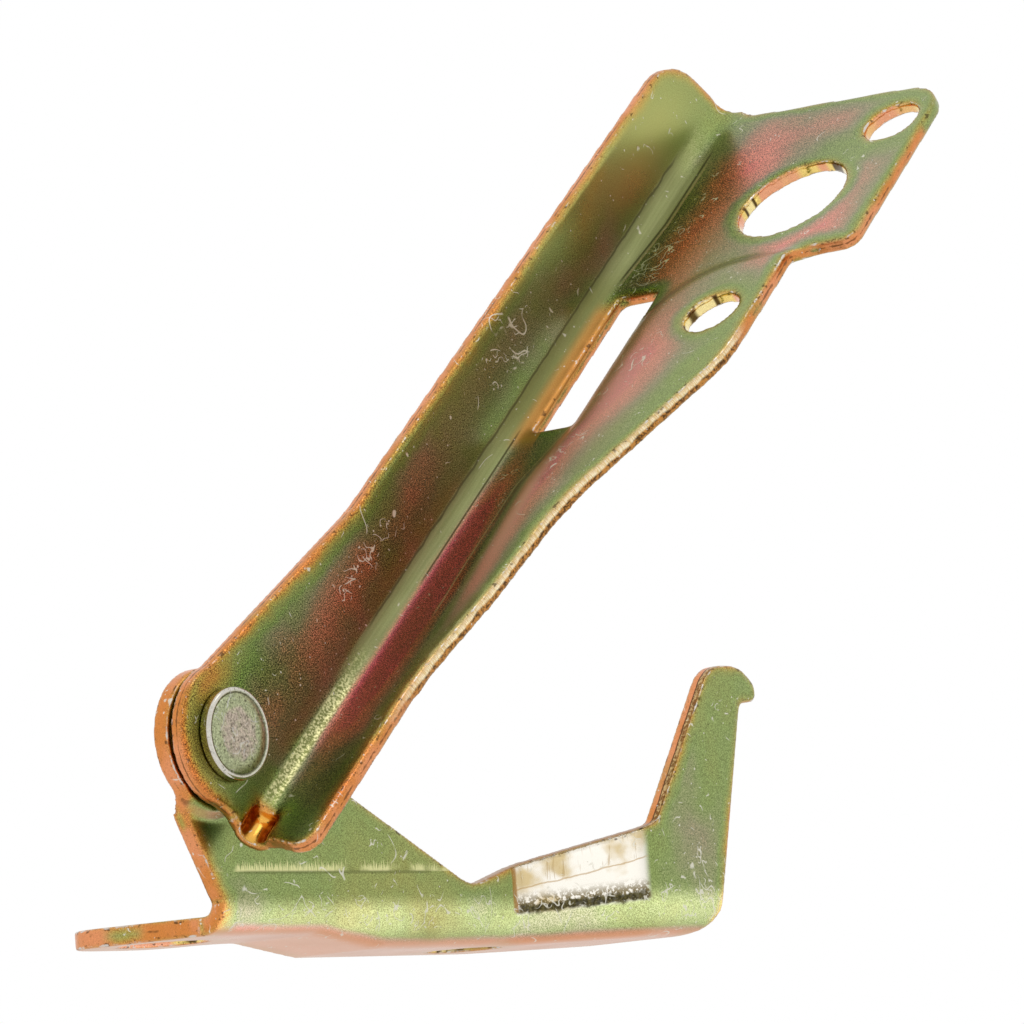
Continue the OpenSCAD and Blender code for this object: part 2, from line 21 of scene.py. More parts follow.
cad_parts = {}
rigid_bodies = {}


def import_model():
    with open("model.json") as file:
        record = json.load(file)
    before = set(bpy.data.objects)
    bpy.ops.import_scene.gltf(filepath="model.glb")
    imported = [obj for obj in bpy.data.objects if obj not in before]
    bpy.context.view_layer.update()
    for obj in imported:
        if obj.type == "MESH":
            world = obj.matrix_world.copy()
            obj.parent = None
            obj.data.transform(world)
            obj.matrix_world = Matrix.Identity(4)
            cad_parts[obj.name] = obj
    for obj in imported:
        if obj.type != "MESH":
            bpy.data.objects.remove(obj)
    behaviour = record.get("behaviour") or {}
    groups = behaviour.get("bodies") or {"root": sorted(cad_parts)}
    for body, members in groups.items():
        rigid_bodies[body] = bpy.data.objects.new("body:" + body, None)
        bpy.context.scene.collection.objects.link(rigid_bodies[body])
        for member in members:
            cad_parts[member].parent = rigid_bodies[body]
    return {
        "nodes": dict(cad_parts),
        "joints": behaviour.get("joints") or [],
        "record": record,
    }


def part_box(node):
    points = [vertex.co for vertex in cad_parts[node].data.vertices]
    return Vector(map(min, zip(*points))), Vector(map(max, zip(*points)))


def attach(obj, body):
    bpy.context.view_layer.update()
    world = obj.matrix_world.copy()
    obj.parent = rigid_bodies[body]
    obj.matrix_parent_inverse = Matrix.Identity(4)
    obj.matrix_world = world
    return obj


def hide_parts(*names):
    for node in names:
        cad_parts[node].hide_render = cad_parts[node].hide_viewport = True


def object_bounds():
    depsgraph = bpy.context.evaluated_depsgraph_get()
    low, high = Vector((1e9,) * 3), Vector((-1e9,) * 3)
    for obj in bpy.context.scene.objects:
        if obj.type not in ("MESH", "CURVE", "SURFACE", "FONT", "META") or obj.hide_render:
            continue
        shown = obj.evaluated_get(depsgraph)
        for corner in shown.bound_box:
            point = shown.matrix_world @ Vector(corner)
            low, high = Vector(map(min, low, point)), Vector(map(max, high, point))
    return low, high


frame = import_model()
cad_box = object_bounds()
MM = 0.001
scene_objects = bpy.context.scene.collection.objects
print("CAD nodes:", sorted(frame["nodes"]))

# %% [markdown]
# ## Where the arm and the bracket lie
# A finish is easier to place in the words of the object than in X, Y and Z. For the arm
# these are the distance along it from the pivot, the distance out from its web, and the
# height above the pivot line. The pivot comes from the joint in the record, and the tilt
# of the arm is the angle at which the CAD holds it.

# %% The pivot and the arm's own directions
pivot = np.array(frame["joints"][0]["pos_m"])
ARM_TILT = math.radians(42)
ALONG = np.array([math.cos(ARM_TILT), 0, math.sin(ARM_TILT)])
ABOVE = np.array([-math.sin(ARM_TILT), 0, math.cos(ARM_TILT)])
OUT = np.array([0, -1, 0])
ARM_SHEET = 2.5 * MM
BRACKET_SHEET = 3 * MM
FLANGE_LEVEL = -14  # the flange's face, in millimetres above the pivot line
web_front = pivot[1] - ARM_SHEET / 2


def arm_words(points):
    """Distance along the arm, out from its web and above the pivot line, in millimetres."""
    from_pivot = points - pivot
    return (from_pivot @ ALONG / MM, (web_front - points[:, 1]) / MM, from_pivot @ ABOVE / MM)


print("pivot at", pivot.round(4).tolist())

# %% [markdown]
# ## From CAD triangles to pressed metal
# A CAD mesh has knife-sharp edges and flat facets, and pressed sheet has neither. A bevel
# could round the edges, but it breaks on the many short edges that meet at a bend. Here
# the closed solid is wrapped in an even skin of small squares (a voxel remesh). Each
# point of the skin is put back onto the CAD surface, except beside a sharp edge, and then
# the skin is eased: a little beside the sharp edges, so the edges turn round, and much
# more beside the shallow creases, so the folds flow as drawn metal does.

# %% Reading edges from a joined copy of a CAD node
RIM, STEP, CREASE = (60, 181), (40, 60), (3, 40)  # kinds of edge, by the angle of the turn
SAMPLE = 0.25 * MM


def joined_copy(node):
    """The node's loose triangles, merged into one closed shell."""
    shell = bmesh.new()
    shell.from_mesh(frame["nodes"][node].data)
    bmesh.ops.remove_doubles(shell, verts=shell.verts, dist=0.002 * MM)
    return shell


def gap_to_edges(shell, turn, points):
    """Distance of each point from the edges at which the surface turns by an angle in a range."""
    along = []
    for edge in shell.edges:
        if len(edge.link_faces) == 2 and turn[0] <= math.degrees(edge.calc_face_angle(0)) < turn[1]:
            a, b = edge.verts[0].co, edge.verts[1].co
            steps = max(1, int((b - a).length / SAMPLE))
            along += [a.lerp(b, i / steps) for i in range(steps + 1)]
    if not along:
        return np.full(len(points), 1.0)
    finder = KDTree(len(along))
    for i, point in enumerate(along):
        finder.insert(point, i)
    finder.balance()
    return np.array([finder.find(p)[2] for p in points])


# %% Wrapping and easing
def realized(rough, name):
    """The plain mesh that an object's modifiers make. The object itself goes."""
    found = rough.evaluated_get(bpy.context.evaluated_depsgraph_get())
    mesh = bpy.data.meshes.new_from_object(found)
    mesh.name = name
    bpy.data.objects.remove(rough)
    return mesh


def wrapped(shell, name, voxel):
    """A new mesh of even squares around a closed shell."""
    rough = bpy.data.objects.new(name + "_rough", bpy.data.meshes.new(name + "_rough"))
    shell.to_mesh(rough.data)
    scene_objects.link(rough)
    skin = rough.modifiers.new("skin", "REMESH")
    skin.mode = "VOXEL"
    skin.voxel_size = voxel
    return realized(rough, name)


def read_points(mesh, kind="co"):
    """Places of a mesh's points, or their normals."""
    values = np.zeros(len(mesh.vertices) * 3, np.float32)
    source = mesh.vertices if kind == "co" else mesh.vertex_normals
    source.foreach_get("co" if kind == "co" else "vector", values)
    return values.reshape(-1, 3).astype(float)


def edge_pairs(mesh):
    pairs = np.zeros(len(mesh.edges) * 2, np.int32)
    mesh.edges.foreach_get("vertices", pairs)
    return pairs.reshape(-1, 2)


def eased(values, pairs, weight, rounds):
    """Moves each value towards the mean of its neighbours, by its own weight."""
    total = len(values)
    share = weight[:, None] / np.bincount(pairs.ravel(), minlength=total)[:, None]
    a, b = pairs.T
    for _ in range(rounds):
        near = np.stack([np.bincount(a, values[b, k], total) + np.bincount(b, values[a, k], total)
                         for k in range(values.shape[1])], 1)
        values = values * (1 - weight[:, None]) + near * share
    return values


def smooth_step(low, high, x):
    t = np.clip((x - low) / (high - low), 0, 1)
    return t * t * (3 - 2 * t)


# %% [markdown]
# A cut face shows the inside of the sheet, so a ray that goes straight in from it passes
# through more metal than one sheet is thick. That tells cut faces from rolled ones.

# %% One stamping from one CAD node
EDGE_ROUND = 0.4 * MM
JUST_INSIDE = 0.03 * MM
FAR, CUT_FROM, CUT_FULL = 6, 1.25, 1.8  # metal behind a point, in thicknesses of the sheet


def ease_skin(mesh, shell, surface, fold_reach, fold_rounds):
    """Lays a skin on its solid, and rounds its edges and folds; gives each point's gap to a rim."""
    pairs = edge_pairs(mesh)
    co = read_points(mesh)
    rim_gap, step_gap, crease_gap = (gap_to_edges(shell, turn, co) for turn in (RIM, STEP, CREASE))
    sharp_gap = np.minimum(rim_gap, step_gap)
    onto = np.array([surface.find_nearest(p)[0] for p in co])
    hold = smooth_step(EDGE_ROUND * 0.5, EDGE_ROUND * 1.5, sharp_gap)[:, None]
    co = co * (1 - hold) + onto * hold
    light = 0.5 * (1 - smooth_step(EDGE_ROUND, EDGE_ROUND * 2.5, sharp_gap))
    co = eased(co, pairs, light, 4)
    fold = 1 - smooth_step(fold_reach * 0.5, fold_reach, crease_gap)
    fold *= smooth_step(EDGE_ROUND, EDGE_ROUND * 4, sharp_gap)
    co = eased(co, pairs, 0.6 * fold, fold_rounds)
    mesh.vertices.foreach_set("co", co.astype(np.float32).ravel())
    mesh.update()
    return co, rim_gap


def cut_share(mesh, co, normal, surface, sheet):
    """1 on cut faces, 0 on rolled ones."""
    depth = np.full(len(co), FAR * sheet)
    for i, (p, n) in enumerate(zip(co, normal)):
        inside = surface.ray_cast(Vector(p - n * JUST_INSIDE), Vector(-n), FAR * sheet)[3]
        if inside is not None:
            depth[i] = inside
    cut = smooth_step(CUT_FROM * sheet, CUT_FULL * sheet, depth)[:, None]
    return eased(cut, edge_pairs(mesh), np.full(len(co), 0.5), 2)[:, 0]


def stamping(node, voxel, sheet, fold_reach, fold_rounds):
    """The eased skin of a node, with what its finish needs measured at each point."""
    shell = joined_copy(node)
    surface = BVHTree.FromBMesh(shell)
    mesh = wrapped(shell, node + "_skin", voxel)
    co, rim_gap = ease_skin(mesh, shell, surface, fold_reach, fold_rounds)
    normal = read_points(mesh, "normal")
    cut = cut_share(mesh, co, normal, surface, sheet)
    shell.free()
    piece = bpy.data.objects.new(node + "_pressed", mesh)
    scene_objects.link(piece)
    mesh.polygons.foreach_set("use_smooth", np.ones(len(mesh.polygons), bool))
    return piece, {"points": co, "normal": normal, "rim": rim_gap / MM, "cut": cut}


def keep(piece, **values):
    """Stores values for each point of a piece, for its material to read."""
    for name, numbers in values.items():
        layer = piece.data.attributes.new(name, "FLOAT", "POINT")
        layer.data.foreach_set("value", numbers.astype(np.float32))


arm, arm_found = stamping("bonnet_arm", 0.505 * MM, ARM_SHEET, 2.2 * MM, 16)
bracket, bracket_found = stamping("body_bracket", 0.42 * MM, BRACKET_SHEET, 2.0 * MM, 12)
for piece in (arm, bracket):
    print(piece.name, len(piece.data.polygons), "squares")

# %% [markdown]
# ## Where the zinc film is thin and where it is thick
# Zinc goes on thicker at edges than in hollows, and the passive film on it follows, so
# its colour tells where a point lies: orange on cut edges, gold beside them, green on
# open faces and rose in the middle of wide ones. The material makes that colour from one
# level for the film, from 0 to 1. What a rule can't know, such as where rose patches lie
# on the arm, is a short list of soft spots: a place, a size and a change of the level.
# On the flange a place is along and out, and on the web it is along and above.

# %% Soft spots on the arm's flange and web
def spots(u, v, rows):
    """Sum of soft spots: each row is a place, a size along and across, and a strength."""
    total = np.zeros(len(u))
    for u0, v0, ru, rv, strength in rows:
        total += strength * np.exp(-((u - u0) / ru) ** 2 - ((v - v0) / rv) ** 2)
    return total


s, w, h = arm_words(arm_found["points"])
on_web = smooth_step(2.0, 0.4, w)
front_up = smooth_step(-17.0, -15.5, h) * smooth_step(-2.2, -1.4, w)
open_face = front_up * (1 - arm_found["cut"])


def arm_spots(flange_rows, web_rows=()):
    return spots(s, w, flange_rows) * (1 - on_web) + spots(s, h, web_rows) * on_web


EVEN_FILM = 0.47
FLANGE_FILM = [
    (160, 15, 20, 7, 0.28), (165, 21, 9, 7, 0.10), (135, 37, 12, 9, 0.54), (150, 43, 6, 4, 0.10),
    (171, 30, 5, 5, 0.2), (101, 19, 15, 7, 0.48), (80, 15.5, 14, 4, 0.38), (36, 4.6, 24, 4.4, 0.75),
    (68, 13.4, 26, 2.2, 0.36), (68, 4.4, 24, 4.0, 0.46), (60, 11.0, 22, 0.9, -0.2), (133, 12, 20, 8, 0.30),
]
WEB_FILM = [
    (30, -3, 18, 6, 0.2), (60, -4, 24, 5, 0.14), (9, -5, 8, 4, 0.08), (132, -2.5, 8, 4, -0.18),
    (144, 0.5, 7, 2.5, -0.2), (133, -8, 9, 5, 0.16), (-9, 3, 6, 8, -0.3), (3, 9, 8, 4, -0.3),
    (100, -4, 22, 5, 0.06),
]
arm_film = EVEN_FILM + arm_spots(FLANGE_FILM, WEB_FILM) * front_up
print("film level on the arm from", round(arm_film.min(), 2), "to", round(arm_film.max(), 2))

# %% [markdown]
# In the channel between web and flange, and on the shaded side of the raised strip's fold,
# painted shade darkens the colour: there the tone is multiplied by itself, so it is darker
# and deeper. The raised strip has a pink blush, and the web's upper end is olive. The
# orange beside an edge is strong along the web and the slot, faint elsewhere.

# %% Painted shade, blush, olive and gilt
FLANGE_PAINTED_SHADE = [
    (24, 5, 36, 6, 0.5), (2, 8, 10, 6, 0.4), (70, 5.5, 26, 3.5, 0.6), (160, 20, 22, 14, 0.45),
    (62, 9.3, 20, 1.3, 0.9), (130, 7, 36, 6, 0.85), (150, 9, 14, 5, 0.7),
]
WEB_PAINTED_SHADE = [
    (46, -4, 36, 9, 0.9), (12, -1, 14, 10, 0.7), (100, -4, 30, 8, 0.35), (130, -6, 15, 4, 0.3),
    (-4, 5, 9, 8, 0.6),
]
FLANGE_BLUSH = [(68, 13.2, 24, 1.8, 0.9), (98, 18, 14, 5, 0.6)]
WEB_OLIVE = [(160, -4, 16, 8, 0.75), (128, 4, 16, 3, 0.3)]
FLANGE_GILT = [(108, 2, 26, 4, 0.8), (20, 12, 50, 4, 0.4), (4, 11, 14, 6, 0.5)]
arm_deep = np.clip(arm_spots(FLANGE_PAINTED_SHADE, WEB_PAINTED_SHADE), 0, 1) * open_face
blush = arm_spots(FLANGE_BLUSH) * open_face
olive = arm_spots((), WEB_OLIVE) * open_face
arm_gilt = np.clip(0.25 + 0.75 * on_web + arm_spots(FLANGE_GILT), 0, 1)
print("deep colour on", int((arm_deep > 0.5).sum()), "points of the arm")

# %% [markdown]
# Hole walls are polished by the punch, so they shine. The record lists every hole with
# its axis and radius, and a point lies on a hole's wall where its distance from the axis
# is that radius and its surface faces the axis.

# %% Hole walls
def hole_walls(found):
    wall = np.zeros(len(found["points"]))
    for mount in frame["record"]["mounts"]:
        if mount["kind"] == "bore":
            axis = np.array(mount["axis"])
            off = found["points"] - np.array(mount["pos_m"])
            depth = off @ axis
            radius = np.linalg.norm(off - np.outer(depth, axis), axis=1) / MM
            near = smooth_step(0.9, 0.5, np.abs(radius - mount["dims"]["r_mm"]))
            facing = smooth_step(0.8, 0.4, np.abs(found["normal"] @ axis))
            wall = np.maximum(wall, near * facing * smooth_step(4, 3, np.abs(depth) / MM))
    return wall


arm_bores, bracket_bores = hole_walls(arm_found), hole_walls(bracket_found)
print("hole walls:", int((arm_bores > 0.5).sum()), "points on the arm,",
      int((bracket_bores > 0.5).sum()), "on the bracket")

# %% [markdown]
# The long free edge of the arm is a clean shear: the punch burnished the upper part of
# the cut and tore the rest. The parts also knocked together in the plating barrel. Each
# of these is one more value for each point.

# %% The arm's sheared edge and knocks
FLANGE_KNOCKS = [
    (145, 8.6, 6, 3, 0.9), (134, 7, 7, 4, 1.0), (104, 19, 8, 3, 0.8), (82, 16, 10, 2.5, 0.8),
    (160, 40, 8, 4, 0.6),
]
WEB_KNOCKS = [(53, -3, 6, 3, 0.9), (41, -2, 6, 3, 0.9), (100, -5, 9, 4, 0.8), (104, 4, 7, 3, 0.7)]
sheared = arm_found["cut"] * smooth_step(9, 11, w) * smooth_step(14, 30, s) * smooth_step(112, 104, s)
keep(arm, film=arm_film, rim=arm_found["rim"], cut=arm_found["cut"], bore=arm_bores, sheared=sheared,
     knocks=0.05 + arm_spots(FLANGE_KNOCKS, WEB_KNOCKS), deep=arm_deep, blush=blush, olive=olive,
     gilt=arm_gilt)
print("sheared edge:", int((sheared > 0.5).sum()), "points")

# %% [markdown]
# On the bracket the die flattened the slanted panel to bare zinc, whose near-white colour
# is also a painted highlight. There are most knocks on the round of the lower bend, and
# the underside turned salmon.

# %% The bracket's panel, underside and knocks
FOOT_SLOPE = 0.07  # rise of the panel's foot along X
HOOK_FILM = [(31, 23, 4, 9, 0.10), (29, 13, 7, 4, 0.08), (-45, 26, 10, 6, 0.04), (-30, 18, 14, 3, -0.04)]
x, y, z = (bracket_found["points"] / MM).T
facing = smooth_step(0.3, 0.6, -bracket_found["normal"][:, 1])
flat_front = facing * (1 - bracket_found["cut"])
panel = flat_front * smooth_step(-0.3, 0.4, x) * smooth_step(18.3, 16.9, x)
panel *= smooth_step(4.4, 5.2, z - FOOT_SLOPE * x)
underside = smooth_step(-0.6, -0.95, bracket_found["normal"][:, 2])
lower_bend = smooth_step(1.5, 3.5, z) * smooth_step(11, 7, z) * facing
hook_foot = smooth_step(18, 21, x) * smooth_step(24, 14, z)
far_end, hook_back = smooth_step(-40, -60, x), smooth_step(22, 30, x) * smooth_step(36, 12, z)
hook_front = y[(x > 20) & (z > 30)].min()
keep(bracket, film=0.42 + spots(x, z, HOOK_FILM) + 0.36 * underside, rim=bracket_found["rim"],
     cut=bracket_found["cut"], bore=bracket_bores, panel=panel, under=underside, front=flat_front,
     knocks=0.2 + 0.45 * lower_bend + 0.2 * hook_foot, gilt=0.45 + 0.55 * far_end + 0.5 * hook_back)
print("panel points:", int((panel > 0.5).sum()))

# %% [markdown]
# ## Short calls for nodes
# A material is a tree of nodes. A few small helpers keep the trees readable: one places
# a node and wires it, some do sums, some make masks and noises, and some mix colours.
# They write into the tree that is open, and each new group or material opens its own.

# %% Nodes and sums
tree = None


def put(kind, wires=None, **settings):
    """Adds a node, with settings, and with a value or a wire for each named socket."""
    node = tree.nodes.new(kind)
    for key, value in settings.items():
        setattr(node, key, value)
    for socket, value in (wires or {}).items():
        if isinstance(value, bpy.types.NodeSocket):
            tree.links.new(value, node.inputs[socket])
        else:
            node.inputs[socket].default_value = value
    return node


def sums(operation, a, b=0.0, c=0.0, clamp=False):
    return put("ShaderNodeMath", {0: a, 1: b, 2: c}, operation=operation, use_clamp=clamp).outputs[0]


def plus(a, b):
    return sums("ADD", a, b)


def minus(a, b):
    return sums("SUBTRACT", a, b)


def times(first, *others):
    for other in others:
        first = sums("MULTIPLY", first, other)
    return first


def scaled(a, much, onto):
    """A value times another, added onto a third."""
    return sums("MULTIPLY_ADD", a, much, onto)


def squared(a):
    return sums("POWER", a, 2.0)


def flat(a, b=0.0):
    """A place in a plane, from two values."""
    return put("ShaderNodeCombineXYZ", {0: a, 1: b}).outputs[0]


# %% Masks and noises
def between(value, low, high):
    """0 below low, 1 above high, and smooth between them."""
    return put("ShaderNodeMapRange", {0: value, 1: low, 2: high}, interpolation_type="SMOOTHSTEP").outputs[0]


def ramped(value, low, high, first, last):
    """A straight run from first at low to last at high."""
    return put("ShaderNodeMapRange", {0: value, 1: low, 2: high, 3: first, 4: last}).outputs[0]


def line(value, at, half, soft):
    """1 where a value lies within half of a place, fading over soft."""
    return between(sums("ABSOLUTE", minus(value, at)), half + soft, half)


def span(value, low, high, soft):
    """1 where a value lies between two places, fading over soft."""
    return times(between(value, low - soft, low), between(value, high + soft, high))


def noise(place, scale, detail=2.0, rough=0.5):
    return put("ShaderNodeTexNoise", {"Vector": place, "Scale": scale, "Detail": detail,
                                      "Roughness": rough}).outputs[0]


def wavering(value, place, scale, much, detail=2.0):
    """A value that wanders to both sides with a noise."""
    return plus(value, times(minus(noise(place, scale, detail), 0.5), much))


# %% Colours
def mix(share, a, b, how="MIX"):
    a, b = (v if isinstance(v, bpy.types.NodeSocket) else (*v, 1) for v in (a, b))
    node = put("ShaderNodeMix", {0: share, 6: a, 7: b}, data_type="RGBA", blend_type=how)
    return node.outputs[2]


def paint(tone, mask, much, colour):
    """Lays a colour over a tone where a mask is set."""
    return mix(times(mask, much), tone, colour)


def shaded(tone, grain, swing):
    """A tone that a grain makes lighter and darker."""
    shade = scaled(minus(grain, 0.5), swing, 1.0)
    grey = put("ShaderNodeCombineColor", {0: shade, 1: shade, 2: shade}).outputs[0]
    return mix(1.0, tone, grey, "MULTIPLY")


# %% Groups and materials
VALUE, VECTOR, COLOUR = "NodeSocketFloat", "NodeSocketVector", "NodeSocketColor"


def new_group(name, inputs, outputs):
    global tree
    tree = group = bpy.data.node_groups.new(name, "ShaderNodeTree")
    for title, kind in inputs:
        group.interface.new_socket(title, in_out="INPUT", socket_type=kind)
    for title, kind in outputs:
        group.interface.new_socket(title, in_out="OUTPUT", socket_type=kind)
    return group, group.nodes.new("NodeGroupInput").outputs, group.nodes.new("NodeGroupOutput").inputs


def use(group, **wires):
    return put("ShaderNodeGroup", wires, node_tree=group).outputs


def attribute(name):
    return put("ShaderNodeAttribute", attribute_name=name).outputs["Fac"]


def new_material(name, metallic=1.0):
    global tree
    material = bpy.data.materials.new(name)
    material.use_nodes = True
    tree = material.node_tree
    shader = tree.nodes["Principled BSDF"]
    shader.inputs["Metallic"].default_value = metallic
    place = tree.nodes.new("ShaderNodeTexCoord").outputs["Object"]
    return material, shader, place


def wire_up(shader, tone, rough, height, strength):
    """Gives a shader its colour, its roughness and a bump of a height in millimetres."""
    bump = put("ShaderNodeBump", {"Strength": strength, "Distance": MM, "Height": height})
    for title, value in (("Base Color", tone), ("Roughness", rough), ("Normal", bump.outputs[0])):
        tree.links.new(value, shader.inputs[title])


# %% [markdown]
# ## The film's colour
# A passive film is so thin that its colour is interference, as in a soap bubble. One
# level for the film runs through a ramp of the colours it shows, in their real order.
# The level wanders with a broad noise, for the drift of the dip, and near a rim it can't
# be higher than the rim allows, which gives every edge its orange and green lines.

# %% The film group
FILM_RAMP = [
    (0.00, (0.66, 0.25, 0.075)), (0.10, (0.57, 0.27, 0.065)), (0.20, (0.42, 0.33, 0.08)),
    (0.32, (0.31, 0.33, 0.105)), (0.46, (0.245, 0.32, 0.105)), (0.60, (0.31, 0.29, 0.17)),
    (0.74, (0.50, 0.27, 0.19)), (0.88, (0.64, 0.27, 0.20)), (1.00, (0.62, 0.17, 0.20)),
]
LEVEL_DRIFT = ((34, 0.42), (130, 0.24))  # scale of a noise, and how far it moves the value
RIM_DRIFT = ((160, 1.8), (50, 3.0), (620, 1.0))
PER_MM, SOFT = 0.14, 0.14  # how fast the level may rise from a rim, and how softly it is held
GRAIN_SCALE = 5200

film, given, made = new_group(
    "film_colour", [("Place", VECTOR), ("Level", VALUE), ("Rim", VALUE), ("Gilt", VALUE)],
    [("Colour", COLOUR), ("Grain", VALUE)])
level, edge = given["Level"], given["Rim"]
for scale, much in LEVEL_DRIFT:
    level = wavering(level, given["Place"], scale, much)
for scale, much in RIM_DRIFT:
    edge = wavering(edge, given["Place"], scale, much)
start = scaled(given["Gilt"], -0.24, 0.30)
level = sums("SMOOTH_MIN", level, scaled(edge, PER_MM, start), SOFT)
grain = noise(given["Place"], GRAIN_SCALE, 1.0, 0.7)
level = sums("ADD", level, times(minus(grain, 0.5), 0.2), clamp=True)
ramp = put("ShaderNodeValToRGB", {0: level})
while len(ramp.color_ramp.elements) < len(FILM_RAMP):
    ramp.color_ramp.elements.new(0.5)
for stop, (at, tone) in zip(ramp.color_ramp.elements, FILM_RAMP):
    stop.position = at
    stop.color = (*tone, 1)
film.links.new(ramp.outputs[0], made["Colour"])
film.links.new(grain, made["Grain"])
print("film ramp with", len(FILM_RAMP), "colours")

# %% [markdown]
# ## Cut faces
# Where the sheet was cut, the film is thin and orange or salmon. The middle of a cut is
# torn, so it has dark broken cracks, and here and there the green of the faces runs over.

# %% The cut group
cut_face, given, made = new_group(
    "cut_face", [("Place", VECTOR), ("Rim", VALUE), ("Middle", VALUE), ("Torn", VALUE)], [("Colour", COLOUR)])
spot = given["Place"]
tone = mix(between(noise(spot, 120, 3.0), 0.38, 0.62), (0.76, 0.30, 0.13), (0.66, 0.24, 0.06))
green = between(noise(spot, 70), 0.60, 0.74)
tone = paint(tone, green, 0.4, (0.44, 0.37, 0.14))
from_middle = minus(given["Middle"], wavering(given["Rim"], spot, 900, 0.5, 3.0))
broken = plus(noise(spot, 150, 3.0), given["Torn"])
crack = times(between(from_middle, 0.22, 0.12), between(broken, 0.5, 0.58))
tone = paint(tone, crack, 0.75, (0.14, 0.06, 0.02))
fleck = between(noise(spot, 1500), 0.60, 0.72)
tone = paint(tone, fleck, 0.5, (0.30, 0.13, 0.04))
cut_face.links.new(tone, made["Colour"])
print("cut group with", len(cut_face.nodes), "nodes")

# %% [markdown]
# ## Knocks and burrs
# Parts that are plated in a barrel knock against each other, which leaves short, curled,
# bright strokes. A thin band around the middle value of a noise is a curl of that kind,
# and a second noise keeps only short pieces of it. Burrs are silver strokes where a face
# meets a cut, with dark specks beside them.

# %% The knock group and the burr group
CURLS = ((90, 0.005, 150), (190, 0.010, 230), (420, 0.020, 300))  # scale, width, scale of the pieces

knock, given, made = new_group("knocks", [("Place", VECTOR), ("Amount", VALUE)], [("Mask", VALUE)])
spot = given["Place"]
specks = scaled(given["Amount"], 0.06, noise(spot, 1300, 1.0))
knocked = between(specks, 0.74, 0.80)
for scale, thin, pieces in CURLS:
    curl = line(noise(spot, scale, 1.0), 0.5, thin * 0.4, thin * 0.6)
    kept = scaled(given["Amount"], 0.22, noise(spot, pieces, 2.0, 0.6))
    knocked = sums("MAXIMUM", knocked, times(curl, between(kept, 0.66, 0.72)))
knock.links.new(knocked, made["Mask"])

burr, given, made = new_group(
    "burrs", [("Place", VECTOR), ("Rim", VALUE), ("Amount", VALUE)], [("Silver", VALUE), ("Dirt", VALUE)])
spot = given["Place"]
ragged = wavering(given["Rim"], spot, 700, 0.7, 3.0)
patch = scaled(given["Amount"], 0.3, noise(spot, 170, 3.0, 0.6))
silver = times(between(ragged, 0.30, 0.14), between(patch, 0.56, 0.66))
dirt = times(span(ragged, 0.25, 0.5, 0.15), between(noise(spot, 900), 0.58, 0.68))
burr.links.new(silver, made["Silver"])
burr.links.new(dirt, made["Dirt"])
print("knocks with", len(knock.nodes), "nodes, burrs with", len(burr.nodes))

# %% [markdown]
# ## The two stampings' material
# Both stampings have the same finish, so one function lays the groups on top of each
# other: film, cut faces, hole walls, then the marks of each piece, burrs and knocks. A
# punch streaks a hole's wall along the hole, and the wall's dark and pale bands are a
# painted reflection that runs the same way, so the noise for them is read in the plane
# that the hole goes through. The metal is fully metallic, which lets the arm's web and
# flange reflect each other. That is what makes the inside of the channel dark and red in
# the real part; here painted shade in the channel adds to it.

# %% Zinc material
SILVER = (0.66, 0.64, 0.60)
GRIME = (0.045, 0.028, 0.014)
BRIGHT = (0.80, 0.77, 0.66)
# The second swing is for the arm's painted shade.
CUT_SWING, PAINTED_SHADE_SWING = 0.7, 3.6  # how much the grain swings the tone on cuts and in deep colour


def hole_tone_and_reflection(in_plane):
    """Salmon and gold streaks, with a dark and a pale band of painted reflection."""
    streak = noise(in_plane, 0.17, 0.0)
    tone = mix(between(streak, 0.38, 0.48), (0.78, 0.36, 0.20), (0.84, 0.62, 0.19))
    # Painted reflection: a dark band and then a pale band across the wall.
    tone = mix(between(streak, 0.52, 0.56), tone, (0.10, 0.06, 0.016))
    return mix(between(streak, 0.59, 0.63), tone, (0.90, 0.74, 0.34))


def zinc(name, marks, plane, sheet, grain_swing, burr_amount, torn):
    """The plated finish; marks adds what only this piece has, and plane is the plane of its holes."""
    material, shader, place = new_material(name)
    rim, cut, bore = (attribute(n) for n in ("rim", "cut", "bore"))
    skin = use(film, Place=place, Level=attribute("film"), Rim=rim, Gilt=attribute("gilt"))
    edge = use(cut_face, Place=place, Rim=rim, Middle=sheet / 2 / MM, Torn=torn)
    tone = mix(cut, skin["Colour"], edge["Colour"])
    tone = mix(bore, tone, hole_tone_and_reflection(plane(place)))
    swing = scaled(cut, CUT_SWING - grain_swing, grain_swing)
    # Painted shade: the grain swings the tone more where the channel is painted dark.
    swing = scaled(attribute("deep"), PAINTED_SHADE_SWING, swing)
    tone = shaded(tone, skin["Grain"], swing)
    rough = scaled(noise(place, 90, 3.0), 0.14, 0.22)
    rough = minus(rough, times(bore, 0.14))
    tone, rough, height = marks(place, tone, rough)
    burrs = use(burr, Place=place, Rim=rim, Amount=burr_amount)
    tone = paint(tone, burrs["Dirt"], 0.7, GRIME)
    tone = paint(tone, burrs["Silver"], 0.85, SILVER)
    knocked = use(knock, Place=place, Amount=attribute("knocks"))["Mask"]
    tone = paint(tone, knocked, 0.75, BRIGHT)
    height = scaled(noise(place, 2200, 3.0, 0.65), 0.010, height)
    height = scaled(noise(place, 130), 0.04, height)
    height = scaled(knocked, -0.02, height)
    wire_up(shader, tone, scaled(knocked, 0.1, rough), height, 0.6)
    return material


